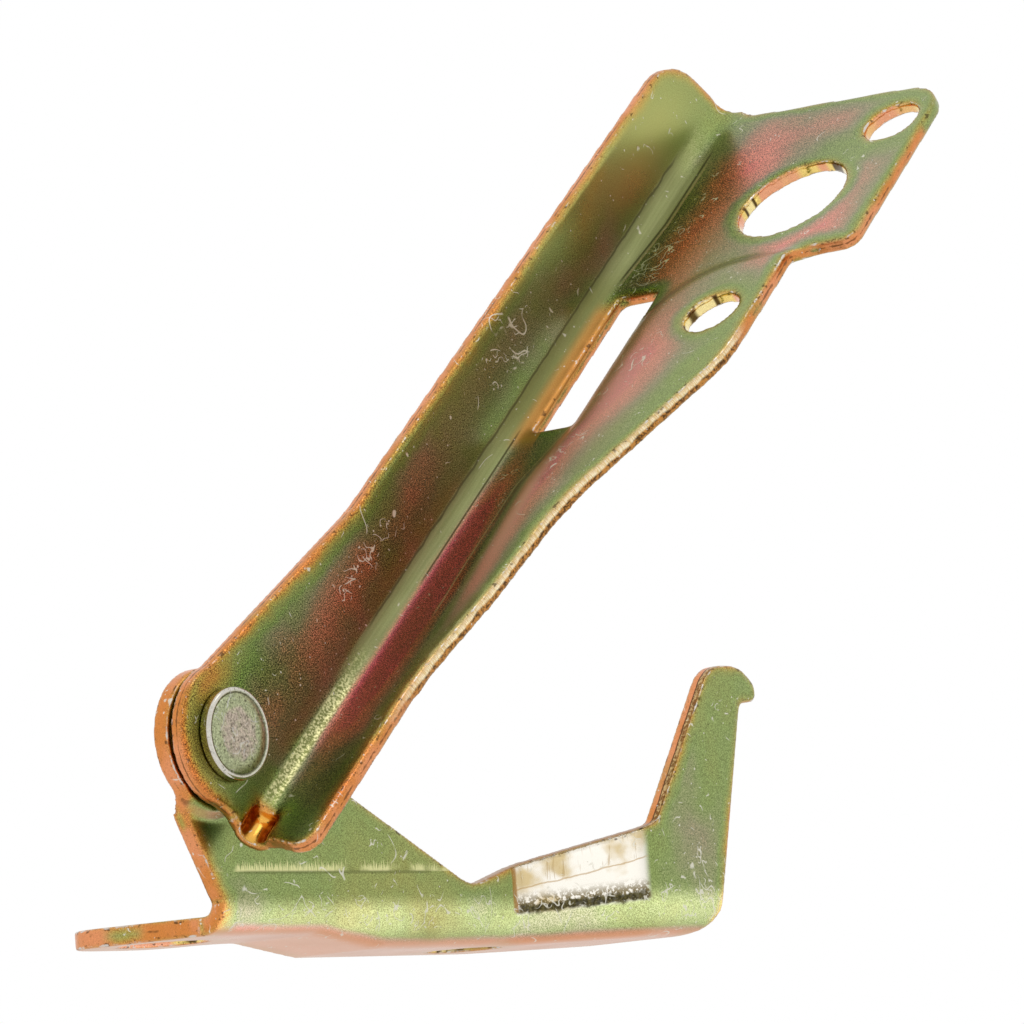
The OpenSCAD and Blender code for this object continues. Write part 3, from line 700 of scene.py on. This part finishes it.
# %% [markdown]
# ## Marks of the press on the arm
# The bend between web and flange was pulled over the die: its round is dull, with a dark
# line of painted shade along each side, and only its foot by the rivet is polished, with a
# painted highlight on it. Beside the slot the dull band is narrow, and the flange next to
# it is orange. The pale line on the raised strip's fold is a painted highlight, and the
# bead's sides have painted shade. Thin lines need finer places than the mesh has points,
# so a group turns Object coordinates into the arm's own words. One more word, across, runs
# down the web and out along the flange.

# %% The arm's words as a group
words, given, made = new_group(
    "arm_words", [("Place", VECTOR)], [("Along", VALUE), ("Out", VALUE), ("Above", VALUE), ("Across", VALUE)])


def dot(place, direction, offset):
    found = put("ShaderNodeVectorMath", {0: place, 1: tuple(direction / MM)}, operation="DOT_PRODUCT")
    return minus(found.outputs["Value"], offset / MM)


along = dot(given["Place"], ALONG, pivot @ ALONG)
out = dot(given["Place"], OUT, -web_front)
above = dot(given["Place"], ABOVE, pivot @ ABOVE)
across = plus(minus(out, above), FLANGE_LEVEL)
for title, value in (("Along", along), ("Out", out), ("Above", above), ("Across", across)):
    words.links.new(value, made[title])
print("arm words with", len(words.nodes), "nodes")

# %% The bend's band and its lines
BEND_R = 3.2
BAND_NARROW, BAND_WIDE = (126, 0.7), (148, BEND_R)  # along, and how far the dull band goes


def bend_lines(place, s, across, beyond, tone):
    """Painted shade as a dark line along each side of the bend, and a pale line beside it near the top."""
    wavy = wavering(across, place, 240, 0.9, 3.0)
    web_side_shade = times(line(wavy, -BEND_R - 0.2, 0.10, 0.22), span(s, 42, 160, 6))
    lower = times(line(beyond, 0.2, 0.10, 0.25), span(s, 55, 88, 5))
    upper = times(line(beyond, 0.2, 0.12, 0.25), span(s, 134, 166, 5))
    pale = times(line(beyond, 0.9, 0.10, 0.25), span(s, 136, 160, 8))
    # Painted shade: the dark lines in the creases along the bend.
    tone = paint(tone, web_side_shade, 0.6, (0.06, 0.05, 0.02))
    tone = paint(tone, sums("MAXIMUM", lower, upper), 0.8, (0.05, 0.035, 0.015))
    return paint(tone, pale, 0.35, (0.74, 0.46, 0.36))


def bend_marks(word, place, tone, rough):
    """The dull band, the orange beside the slot, and a painted highlight on the polished foot."""
    s, across = word["Along"], word["Across"]
    inner = plus(squared(minus(word["Out"], BEND_R)), squared(plus(word["Above"], -FLANGE_LEVEL - BEND_R)))
    hollow = between(inner, 18.5, 16.0)
    reach = ramped(s, BAND_NARROW[0], BAND_WIDE[0], BAND_NARROW[1], BAND_WIDE[1])
    beyond = minus(across, reach)
    inside = times(hollow, between(across, -BEND_R - 0.8, -BEND_R), between(beyond, 1.5, -0.7))
    gilded = times(hollow, between(across, -1.0, 2.2), span(s, 90, 122, 5))
    foot = between(wavering(s, place, 120, 12.0), 36, 24)
    dull = times(inside, minus(1.0, foot), between(s, 170, 158))
    streaks = noise(flat(times(s, 0.06), times(across, 1.4)), 1.0, 3.0, 0.6)
    light = mix(span(s, 96, 124, 14), (0.46, 0.48, 0.23), (0.32, 0.31, 0.11))
    tone = paint(tone, dull, 0.85, mix(streaks, (0.24, 0.25, 0.10), light))
    tone = paint(tone, gilded, 0.85, (0.60, 0.27, 0.07))
    # Painted highlight: a bright sparkle on the bend's foot by the rivet.
    foot_highlight = times(span(across, -2.0, 0.4, 0.7), inside, foot, between(s, -4, 1))
    sparkle = between(noise(place, 2400), 0.42, 0.62)
    tone = paint(tone, foot_highlight, 0.8, mix(sparkle, (0.18, 0.19, 0.06), (0.70, 0.66, 0.34)))
    return bend_lines(place, s, across, beyond, tone), scaled(dull, 0.36, rough)


# %% Fold, sheared edge and bead
SLOT_FROM, SLOT_EDGE = 91, 12.2
STRIP_FOLD = (76, 8.2)  # along and out, where the fold turns towards the slot
BEAD_OUT, BEAD_BELOW = 0.94, 13.06


def fold_marks(word, tone):
    """A pale line along the fold of the raised strip, and on beside the slot: a painted highlight on the fold."""
    s = word["Along"]
    slant = ramped(s, STRIP_FOLD[0], SLOT_FROM, STRIP_FOLD[1], SLOT_EDGE)
    fold_highlight = times(line(minus(word["Out"], slant), 0.0, 0.09, 0.2), span(s, 46, SLOT_FROM, 4),
                    between(word["Above"], FLANGE_LEVEL - 1, FLANGE_LEVEL - 0.4))
    # Painted highlight: the pale line on the fold's ridge.
    return paint(tone, fold_highlight, 0.5, (0.70, 0.58, 0.38))


def shear_marks(word, place, tone, rough):
    """The burnished upper part of the long cut, with the torn part under it."""
    edge, s = attribute("sheared"), word["Along"]
    top = plus(ramped(s, 48, 74, 0.0, 1.5), FLANGE_LEVEL)
    down = times(minus(top, word["Above"]), MM / ARM_SHEET)
    rules = noise(flat(times(s, 5.5), times(down, 1.5)), 1.0, 3.0, 0.7)
    gold = mix(between(rules, 0.34, 0.6), (0.70, 0.50, 0.20), (0.95, 0.84, 0.58))
    crumbs = between(noise(place, 1500, 3.0, 0.7), 0.42, 0.58)
    torn = between(wavering(down, place, 260, 0.5, 3.0), 0.36, 0.56)
    broken = mix(crumbs, (0.10, 0.05, 0.018), (0.55, 0.25, 0.06))
    tone = mix(edge, tone, mix(torn, gold, broken))
    polished = times(edge, minus(1.0, torn))
    return tone, scaled(polished, -0.1, rough), polished


def bead_mark(word, tone, rough):
    """The polished amber of the small bead pressed across the bend's foot, with painted shade at its sides."""
    off = plus(squared(minus(word["Out"], BEAD_OUT)), squared(plus(word["Above"], BEAD_BELOW)))
    bead = times(between(off, 5.6, 3.8), between(word["Along"], -2.6, -3.6))
    side = between(sums("ABSOLUTE", word["Across"]), 0.6, 1.9)
    # Painted shade: the bead is dark at its sides and bright amber in its middle.
    tone = paint(tone, bead, 0.95, mix(side, (0.86, 0.44, 0.08), (0.36, 0.11, 0.012)))
    return tone, scaled(bead, -0.12, rough)


# %% The arm's finish
def arm_plane(place):
    word = use(words, Place=place)
    return flat(word["Along"], word["Out"])


def arm_marks(place, tone, rough):
    word = use(words, Place=place)
    # Painted shade: in the channel the tone is multiplied by itself.
    painted_shade_tone = mix(1.0, tone, tone, "MULTIPLY")
    tone = mix(attribute("deep"), tone, painted_shade_tone)
    tone = mix(attribute("blush"), tone, (0.82, 0.42, 0.34))
    tone = mix(attribute("olive"), tone, (0.50, 0.48, 0.15))
    tone, rough = bend_marks(word, place, tone, rough)
    tone = fold_marks(word, tone)
    tone, rough, polished = shear_marks(word, place, tone, rough)
    tone, rough = bead_mark(word, tone, rough)
    return tone, rough, times(polished, noise(place, 900), 0.05)


arm_finish = zinc("arm_zinc", arm_marks, arm_plane, ARM_SHEET, 2.2, 0.5, 0.08)
arm.data.materials.append(arm_finish)
print("arm finish with", len(arm_finish.node_tree.nodes), "nodes")

# %% [markdown]
# ## Marks of the press on the bracket
# The slanted panel is bare zinc with gold tints, brown borders and a few upright
# scratches; its near-white colour is partly a painted highlight. Its foot, where the die
# ended, is gritty, with painted shade in the fold under it. The crash hook's cut edge has a
# torn, speckled strip with a dark line behind it. On the wall under the rivet a tool
# rubbed a row of short upright strokes. All are lines in X, Y and Z, so they come from
# the coordinates.

# %% The slanted panel
def panel_marks(place, x, z, bare_and_highlight, tone):
    """Bare zinc painted near white, partly a painted highlight, with gold tints, and scratches above a ridge."""
    golden = times(between(noise(place, 150, 3.0), 0.46, 0.66), 0.8)
    # Bare zinc and painted highlight: the panel's tone is near white.
    tone = mix(bare_and_highlight, tone, mix(golden, (0.93, 0.89, 0.80), (0.58, 0.42, 0.15)))
    rise = minus(z, scaled(x, 0.232, 8.7))
    combed = noise(flat(times(x, 1.9), times(z, 0.13)), 1.0, 3.0, 0.65)
    scratch = times(between(combed, 0.58, 0.68), between(rise, -0.2, 0.6), bare_and_highlight)
    tone = paint(tone, scratch, 0.5, (0.42, 0.27, 0.09))
    ridge = times(line(wavering(rise, place, 330, 1.1, 3.0), 0.0, 0.05, 0.15), bare_and_highlight)
    return paint(tone, ridge, 0.6, (0.45, 0.27, 0.08)), scratch


def foot_marks(place, x, z, front, speckle, tone):
    """Grit, a dark line of painted shade in the fold along the panel's foot, and its brown side."""
    foot = minus(z, scaled(x, FOOT_SLOPE, 5.1))
    grit = times(between(noise(place, 1300, 3.0, 0.7), 0.42, 0.52), between(foot, 3.6, 1.2),
                 between(foot, -0.5, 0.1), span(x, 0.2, 17.6, 0.6), front)
    tone = paint(tone, grit, 0.9, (0.17, 0.12, 0.03))
    # Painted shade: the dark line in the concave fold at the panel's foot.
    heel_shade = times(span(wavering(foot, place, 900, 1.8, 3.0), 0.0, 0.7, 0.7), span(x, 1.6, 16.4, 2.2), front)
    tone = paint(tone, heel_shade, 0.95, mix(speckle, (0.035, 0.03, 0.012), (0.10, 0.085, 0.03)))
    side = times(line(wavering(x, place, 300, 0.9, 3.0), -0.1, 0.25, 0.4), between(foot, -0.3, 0.5), front)
    return paint(tone, side, 0.75, (0.36, 0.16, 0.04))


# %% The hook's edge and the tool row
ROW_Z = 12.0


def edge_marks(place, x, y, z, speckle, tone):
    """The brown cut above the panel, and the torn strip on the hook's cut."""
    cut = attribute("cut")
    tone = paint(tone, times(cut, span(x, -14, 18, 3)), 0.75, (0.20, 0.12, 0.03))
    behind = wavering(minus(y, hook_front), place, 500, 0.3, 3.0)
    hook = times(cut, between(z, 16, 18), between(x, 12, 16))
    strip = times(hook, span(behind, 0.35, 1.15, 0.12))
    tone = paint(tone, strip, 0.85, mix(speckle, (0.13, 0.07, 0.02), (0.58, 0.44, 0.20)))
    return paint(tone, times(hook, line(behind, 1.3, 0.06, 0.12)), 0.9, (0.06, 0.03, 0.012))


def row_marks(place, x, z, front, tone):
    """Upright strokes of uneven height, with a dark line under them."""
    tall = scaled(noise(flat(times(x, 3.2)), 1.0, 2.0, 0.7), 7.0, -2.6)
    row = times(between(minus(z, plus(tall, ROW_Z)), 0.2, -0.2),
                between(z, ROW_Z - 0.1, ROW_Z + 0.1), span(x, -72, -17, 3), front,
                between(noise(place, 130), 0.36, 0.5), between(z, ROW_Z + 3, ROW_Z + 1.6))
    tone = paint(tone, row, 0.85, (0.76, 0.74, 0.36))
    under = times(line(z, ROW_Z - 0.1, 0.10, 0.3), span(x, -66, -24, 5), front)
    return paint(tone, under, 0.5, (0.11, 0.12, 0.04))


# %% The bracket's finish
def bracket_plane(place):
    return put("ShaderNodeMapping", {0: place, 3: (1 / MM, 1 / MM, 0)}).outputs[0]


def bracket_marks(place, tone, rough):
    axes = put("ShaderNodeSeparateXYZ", {0: place}).outputs
    x, y, z = (times(axis, 1 / MM) for axis in axes)
    bare_and_highlight, front, under = (attribute(n) for n in ("panel", "front", "under"))
    speckle = between(noise(place, 1700, 3.0, 0.7), 0.42, 0.58)
    # Painted highlight: a band along the lower bend of the bracket's wall is made much lighter.
    lower_bend_highlight = times(span(z, 3.6, 5.0, 3.6), front, between(noise(place, 60), 0.1, 0.6))
    tone = mix(lower_bend_highlight, tone, mix(1.0, tone, (2.7, 2.4, 3.2), "MULTIPLY"))
    tone = paint(tone, under, 0.85, (0.70, 0.33, 0.16))
    tone, scratch = panel_marks(place, x, z, bare_and_highlight, tone)
    tone = foot_marks(place, x, z, front, speckle, tone)
    tone = edge_marks(place, x, y, z, speckle, tone)
    tone = row_marks(place, x, z, front, tone)
    return tone, scaled(bare_and_highlight, -0.06, rough), times(scratch, -0.02)


bracket_finish = zinc("bracket_zinc", bracket_marks, bracket_plane, BRACKET_SHEET, 2.4, 0.35, -0.06)
bracket.data.materials.append(bracket_finish)
print("bracket finish with", len(bracket_finish.node_tree.nodes), "nodes")

# %% [markdown]
# ## Finish of the rivet, bush and washer
# The rivet's head was struck flat, so its middle is worn to a pinkish grey, a green ring
# is left round it, and its rim is bright. The distance from the rivet's line is read from
# Object coordinates, which start at the origin, so a Mapping node moves them to the pivot.

# %% Struck and turned metal
def from_pivot_line(place):
    """Distance from the rivet's line, in millimetres."""
    moved = put("ShaderNodeMapping", {0: place, 1: (-pivot[0] / MM, 0, -pivot[2] / MM),
                                      3: (1 / MM, 0, 1 / MM)}).outputs[0]
    return put("ShaderNodeVectorMath", {0: moved}, operation="LENGTH").outputs["Value"]


def struck_metal(name, centre, ring, lip_tone, worn_r, lip_r):
    """Worn in the middle out to one radius, and bright from another one outwards."""
    material, shader, place = new_material(name)
    grain = noise(place, 1500, 4.0, 0.7)
    blotch = noise(place, 420, 3.0, 0.6)
    radius = from_pivot_line(place)
    uneven = scaled(minus(blotch, 0.5), 3.0, radius)
    tone = mix(between(uneven, worn_r - 0.6, worn_r + 0.6), centre, ring)
    tone = paint(tone, between(noise(place, 900, 3.0), 0.5, 0.6), 0.35, ring)
    lip = between(radius, lip_r - 0.3, lip_r + 0.2)
    tone = mix(lip, tone, lip_tone)
    tone = paint(tone, line(radius, lip_r - 0.25, 0.05, 0.12), 0.7, GRIME)
    tone = shaded(tone, noise(place, 3000, 1.5, 0.7), scaled(lip, -1.6, 2.2))
    tone = paint(tone, between(grain, 0.42, 0.34), 0.5, GRIME)
    tone = paint(tone, use(knock, Place=place, Amount=0.5)["Mask"], 0.6, SILVER)
    rough = scaled(lip, -0.16, scaled(blotch, 0.2, 0.26))
    wire_up(shader, tone, rough, times(grain, 0.03), 0.5)
    return material


rivet_steel = struck_metal("rivet_steel", (0.46, 0.39, 0.31), (0.38, 0.41, 0.24), (0.62, 0.59, 0.52), 4.0, 6.6)
washer_steel = struck_metal("washer_steel", (0.42, 0.41, 0.33), (0.36, 0.38, 0.24), (0.55, 0.53, 0.45), 5.6, 8.2)
bush_brass = struck_metal("bush_brass", (0.50, 0.36, 0.13), (0.42, 0.31, 0.12), (0.60, 0.45, 0.2), 5.0, 8.7)
print("struck metals:", [m.name for m in (rivet_steel, washer_steel, bush_brass)])

# %% [markdown]
# ## Rivet, bush and washer
# These three are turned or upset about one line, so one rule makes them all: a profile
# swept round a circle. A Geometry Nodes tree holds the rule. The profile is a curve of
# (distance from the line, place along it), the circle gives the sweep its path, and the
# points that fall together on the line are merged, so the ends are closed.

# %% The sweeping tree
tree = lathe = bpy.data.node_groups.new("turned_piece", "GeometryNodeTree")
for title, kind in (("Profile", "NodeSocketGeometry"), ("Steps", "NodeSocketInt"), ("Circle", VALUE),
                    ("Centre", VECTOR), ("Finish", "NodeSocketMaterial")):
    lathe.interface.new_socket(title, in_out="INPUT", socket_type=kind)
lathe.interface.new_socket("Piece", in_out="OUTPUT", socket_type="NodeSocketGeometry")
given = lathe.nodes.new("NodeGroupInput").outputs
made = lathe.nodes.new("NodeGroupOutput").inputs
path = put("GeometryNodeCurvePrimitiveCircle", {"Resolution": given["Steps"], "Radius": given["Circle"]})
swept = put("GeometryNodeCurveToMesh", {"Curve": path.outputs[0], "Profile Curve": given["Profile"]})
merged = put("GeometryNodeMergeByDistance", {"Geometry": swept.outputs[0], "Distance": 0.001 * MM})
laid = put("GeometryNodeTransform", {"Geometry": merged.outputs[0], "Translation": given["Centre"],
                                     "Rotation": (math.pi / 2, 0, 0)})
smooth = put("GeometryNodeSetShadeSmooth", {"Geometry": laid.outputs[0]})
plain = put("GeometryNodeRealizeInstances", {"Geometry": smooth.outputs[0]})
painted = put("GeometryNodeSetMaterial", {"Geometry": plain.outputs[0], "Material": given["Finish"]})
lathe.links.new(painted.outputs[0], made["Piece"])
SOCKET = {item.name: item.identifier for item in lathe.interface.items_tree if item.in_out == "INPUT"}
print("sweeping tree with", len(lathe.nodes), "nodes")

# %% A piece from a profile
CIRCLE, AROUND = 10 * MM, 96
SHARP = math.radians(50)


def turned(name, profile, finish, ring=False):
    """A closed piece from a profile of (radius, place along +Y), both in metres."""
    curve = bpy.data.curves.new(name + "_profile", "CURVE")
    curve.dimensions = "3D"
    spline = curve.splines.new("POLY")
    spline.points.add(len(profile) - 1)
    spline.points.foreach_set("co", [c for r, along in profile for c in (r - CIRCLE, along, 0, 1)])
    spline.use_cyclic_u = ring
    rough = bpy.data.objects.new(name + "_profile", curve)
    scene_objects.link(rough)
    sweep = rough.modifiers.new("lathe", "NODES")
    sweep.node_group = lathe
    for title, value in (("Steps", AROUND), ("Circle", CIRCLE), ("Centre", (pivot[0], 0, pivot[2])),
                         ("Finish", finish)):
        sweep[SOCKET[title]] = value
    mesh = realized(rough, name)
    build = bmesh.new()
    build.from_mesh(mesh)
    bmesh.ops.recalc_face_normals(build, faces=build.faces)
    print(name, len(build.faces), "faces,", sum(1 for e in build.edges if len(e.link_faces) != 2), "open edges")
    build.to_mesh(mesh)
    build.free()
    mesh.set_sharp_from_angle(angle=SHARP)
    piece = bpy.data.objects.new(name, mesh)
    scene_objects.link(piece)
    return piece


# %% [markdown]
# The profiles start from the CAD nodes' own boxes, and add what a lathe or a rivet set
# leaves: a rounded rim, a face that is a little sunk, fine rings and broken corners.

# %% Profiles
def arc(centre, radius, start, stop, steps=8):
    turns = [math.radians(start + (stop - start) * i / steps) for i in range(steps + 1)]
    return [(centre[0] + radius * math.cos(a), centre[1] + radius * math.sin(a)) for a in turns]


def soft_ring(inner, outer, front, back, ease):
    """Profile of a ring whose corners are broken by a small round."""
    corners = (((inner + ease, front + ease), 180), ((outer - ease, front + ease), 270),
               ((outer - ease, back - ease), 0), ((inner + ease, back - ease), 90))
    return [point for centre, turn in corners for point in arc(centre, ease, turn, turn + 90, 4)]


(_, rivet_front, _), (_, rivet_back, _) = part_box("pivot_rivet")
HEAD_R, HEAD_T, HEAD_EDGE = 7.25 * MM, 1.8 * MM, 0.55 * MM
SHANK_R, TAIL_R, TAIL_T, TAIL_EDGE = 4 * MM, 6 * MM, 2.6 * MM, 1.9 * MM
face, head_under, tail_under = rivet_front + 0.12 * MM, rivet_front + HEAD_T, rivet_back - TAIL_T
rivet = turned("pivot_rivet_upset", [
    (0, face), (3.4 * MM, face), (4.6 * MM, face - 0.05 * MM), (6.1 * MM, face - 0.06 * MM),
    (6.25 * MM, face + 0.08 * MM), (6.45 * MM, face + 0.02 * MM),
    *arc((HEAD_R - HEAD_EDGE, rivet_front + HEAD_EDGE), HEAD_EDGE, -90, 0),
    (HEAD_R, head_under - 0.15 * MM), (HEAD_R - 0.15 * MM, head_under), (SHANK_R, head_under),
    (SHANK_R, tail_under), (TAIL_R - 0.2 * MM, tail_under), (TAIL_R, tail_under + 0.2 * MM),
    *arc((TAIL_R - TAIL_EDGE, rivet_back - TAIL_EDGE), TAIL_EDGE, 0, 90),
    (2.2 * MM, rivet_back), (1.4 * MM, rivet_back - 0.5 * MM), (0, rivet_back - 0.6 * MM)], rivet_steel)

(_, front, _), (_, back, _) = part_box("tail_washer")
washer = turned("tail_washer_turned", soft_ring(4.1 * MM, 8.5 * MM, front, back, 0.25 * MM), washer_steel, True)

(_, front, _), (_, back, _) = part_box("pivot_bush")
BUSH_IN, BUSH_OUT, BUSH_LIP, LIP_T = 4.05 * MM, 5.05 * MM, 9 * MM, 0.8 * MM
BREAK, ROUND = 0.1 * MM, 0.2 * MM
lip = back - LIP_T
bush = turned("pivot_bush_turned", [
    (BUSH_IN, front + BREAK), (BUSH_IN + BREAK, front), (BUSH_OUT - BREAK, front), (BUSH_OUT, front + BREAK),
    (BUSH_OUT, lip), (BUSH_LIP - ROUND, lip), (BUSH_LIP, lip + ROUND), (BUSH_LIP, back - ROUND),
    (BUSH_LIP - ROUND, back), (BUSH_IN + BREAK, back), (BUSH_IN, back - BREAK)], bush_brass, True)

# %% [markdown]
# ## Riding on the bodies
# Each piece stands for one CAD node, whose own mesh is hidden, and moves with that node's
# body. Its finish was given to it when it was made.

# %% Handing the pieces over
for piece, node, body, finish in (
        (arm, "bonnet_arm", "arm", "arm_zinc"), (bracket, "body_bracket", "bracket", "bracket_zinc"),
        (rivet, "pivot_rivet", "bracket", "rivet_steel"), (bush, "pivot_bush", "arm", "bush_brass"),
        (washer, "tail_washer", "bracket", "washer_steel")):
    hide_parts(node)
    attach(piece, body)
    print(piece.name, "stands for", node)

# %% [markdown]
# ## Camera, floor and light
# The camera stands where the photograph was taken: in front, to the left and a little
# below the base, with a long lens. The floor is pale and lies under the camera, so the
# photograph's view shows only white. Polished metal shows what is around it, so the
# world is white to glossy rays as well, and the softboxes do the drawing.

# %% Camera
RIGHT, UP, BACK = (0.61398, -0.78555, -0.07711), (-0.04458, -0.13204, 0.99024), (-0.78807, -0.60455, -0.11609)
STANDS_AT = (-0.7728, -0.6098, -0.0436)
SENSOR, FOCAL_PIXELS, PHOTO_PIXELS = 36, 6000, 1024
camera = bpy.data.objects.new("camera", bpy.data.cameras.new("camera"))
camera.matrix_world = Matrix([(*(v[i] for v in (RIGHT, UP, BACK)), STANDS_AT[i]) for i in range(3)] + [(0, 0, 0, 1)])
camera.data.sensor_width = SENSOR
camera.data.lens = FOCAL_PIXELS * SENSOR / PHOTO_PIXELS
scene_objects.link(camera)
bpy.context.scene.camera = camera
print("lens of", round(camera.data.lens), "mm")

# %% Floor and world
FLOOR_Z, FLOOR_HALF = -0.062, 6
corners = [(a * FLOOR_HALF, b * FLOOR_HALF, FLOOR_Z) for a, b in ((-1, -1), (1, -1), (1, 1), (-1, 1))]
floor_mesh = bpy.data.meshes.new("floor")
floor_mesh.from_pydata(corners, [], [(0, 1, 2, 3)])
floor = bpy.data.objects.new("floor", floor_mesh)
scene_objects.link(floor)
pale, shader, _ = new_material("pale_floor", 0.0)
shader.inputs["Base Color"].default_value = (0.86, 0.86, 0.85, 1)
shader.inputs["Roughness"].default_value = 0.7
ray = tree.nodes.new("ShaderNodeLightPath").outputs
white = put("ShaderNodeEmission", {"Color": (1, 1, 1, 1), "Strength": 1.0})
shown = put("ShaderNodeMixShader", {0: ray["Is Glossy Ray"], 1: shader.outputs[0], 2: white.outputs[0]})
tree.links.new(shown.outputs[0], tree.nodes["Material Output"].inputs["Surface"])
floor_mesh.materials.append(pale)

DIFFUSE_SKY = 0.6  # how bright the world is to all but seen and mirrored rays
world = bpy.data.worlds.new("studio")
bpy.context.scene.world = world
world.use_nodes = True
tree = world.node_tree
sky = tree.nodes["Background"]
ray = tree.nodes.new("ShaderNodeLightPath").outputs
mirrored = sums("MAXIMUM", ray["Is Glossy Ray"], ray["Is Transmission Ray"])
seen = sums("MAXIMUM", ray["Is Camera Ray"], mirrored)
tree.links.new(scaled(seen, 1 - DIFFUSE_SKY, DIFFUSE_SKY), sky.inputs["Strength"])
sky.inputs["Color"].default_value = (1, 1, 1, 1)
bpy.context.scene.view_settings.view_transform = "Standard"
print("floor at", FLOOR_Z, "m, under a white world")

# %% [markdown]
# The first softbox stands where the slanted panel mirrors it. The second is small and
# high, and draws the bright streak in the foot of the arm's bend. The third lights the
# bracket's wall from the right. Each lamp's power comes from its size, so that its face
# has a given brightness, where 1 is as bright as the white world.

# %% Softboxes
def softbox(name, stands_at, wide, tall, glow):
    """A lamp that faces the middle of the part."""
    middle = (cad_box[0] + cad_box[1]) / 2
    lamp = bpy.data.objects.new(name, bpy.data.lights.new(name, "AREA"))
    lamp.data.shape = "RECTANGLE"
    lamp.data.size, lamp.data.size_y = wide, tall
    lamp.data.energy = glow * math.pi * wide * tall
    out = Vector(stands_at) - middle
    lamp.matrix_world = Matrix.Translation(stands_at) @ out.to_track_quat("Z", "Y").to_matrix().to_4x4()
    scene_objects.link(lamp)


softbox("front_box", (-0.66, -1.26, 0.22), 0.6, 0.4, 0.2)
softbox("streak_box", (-0.031, -0.237, 0.466), 0.16, 0.16, 1.2)
softbox("side_box", (0.40, -1.10, -0.20), 0.5, 0.4, 0.6)
print("three softboxes")
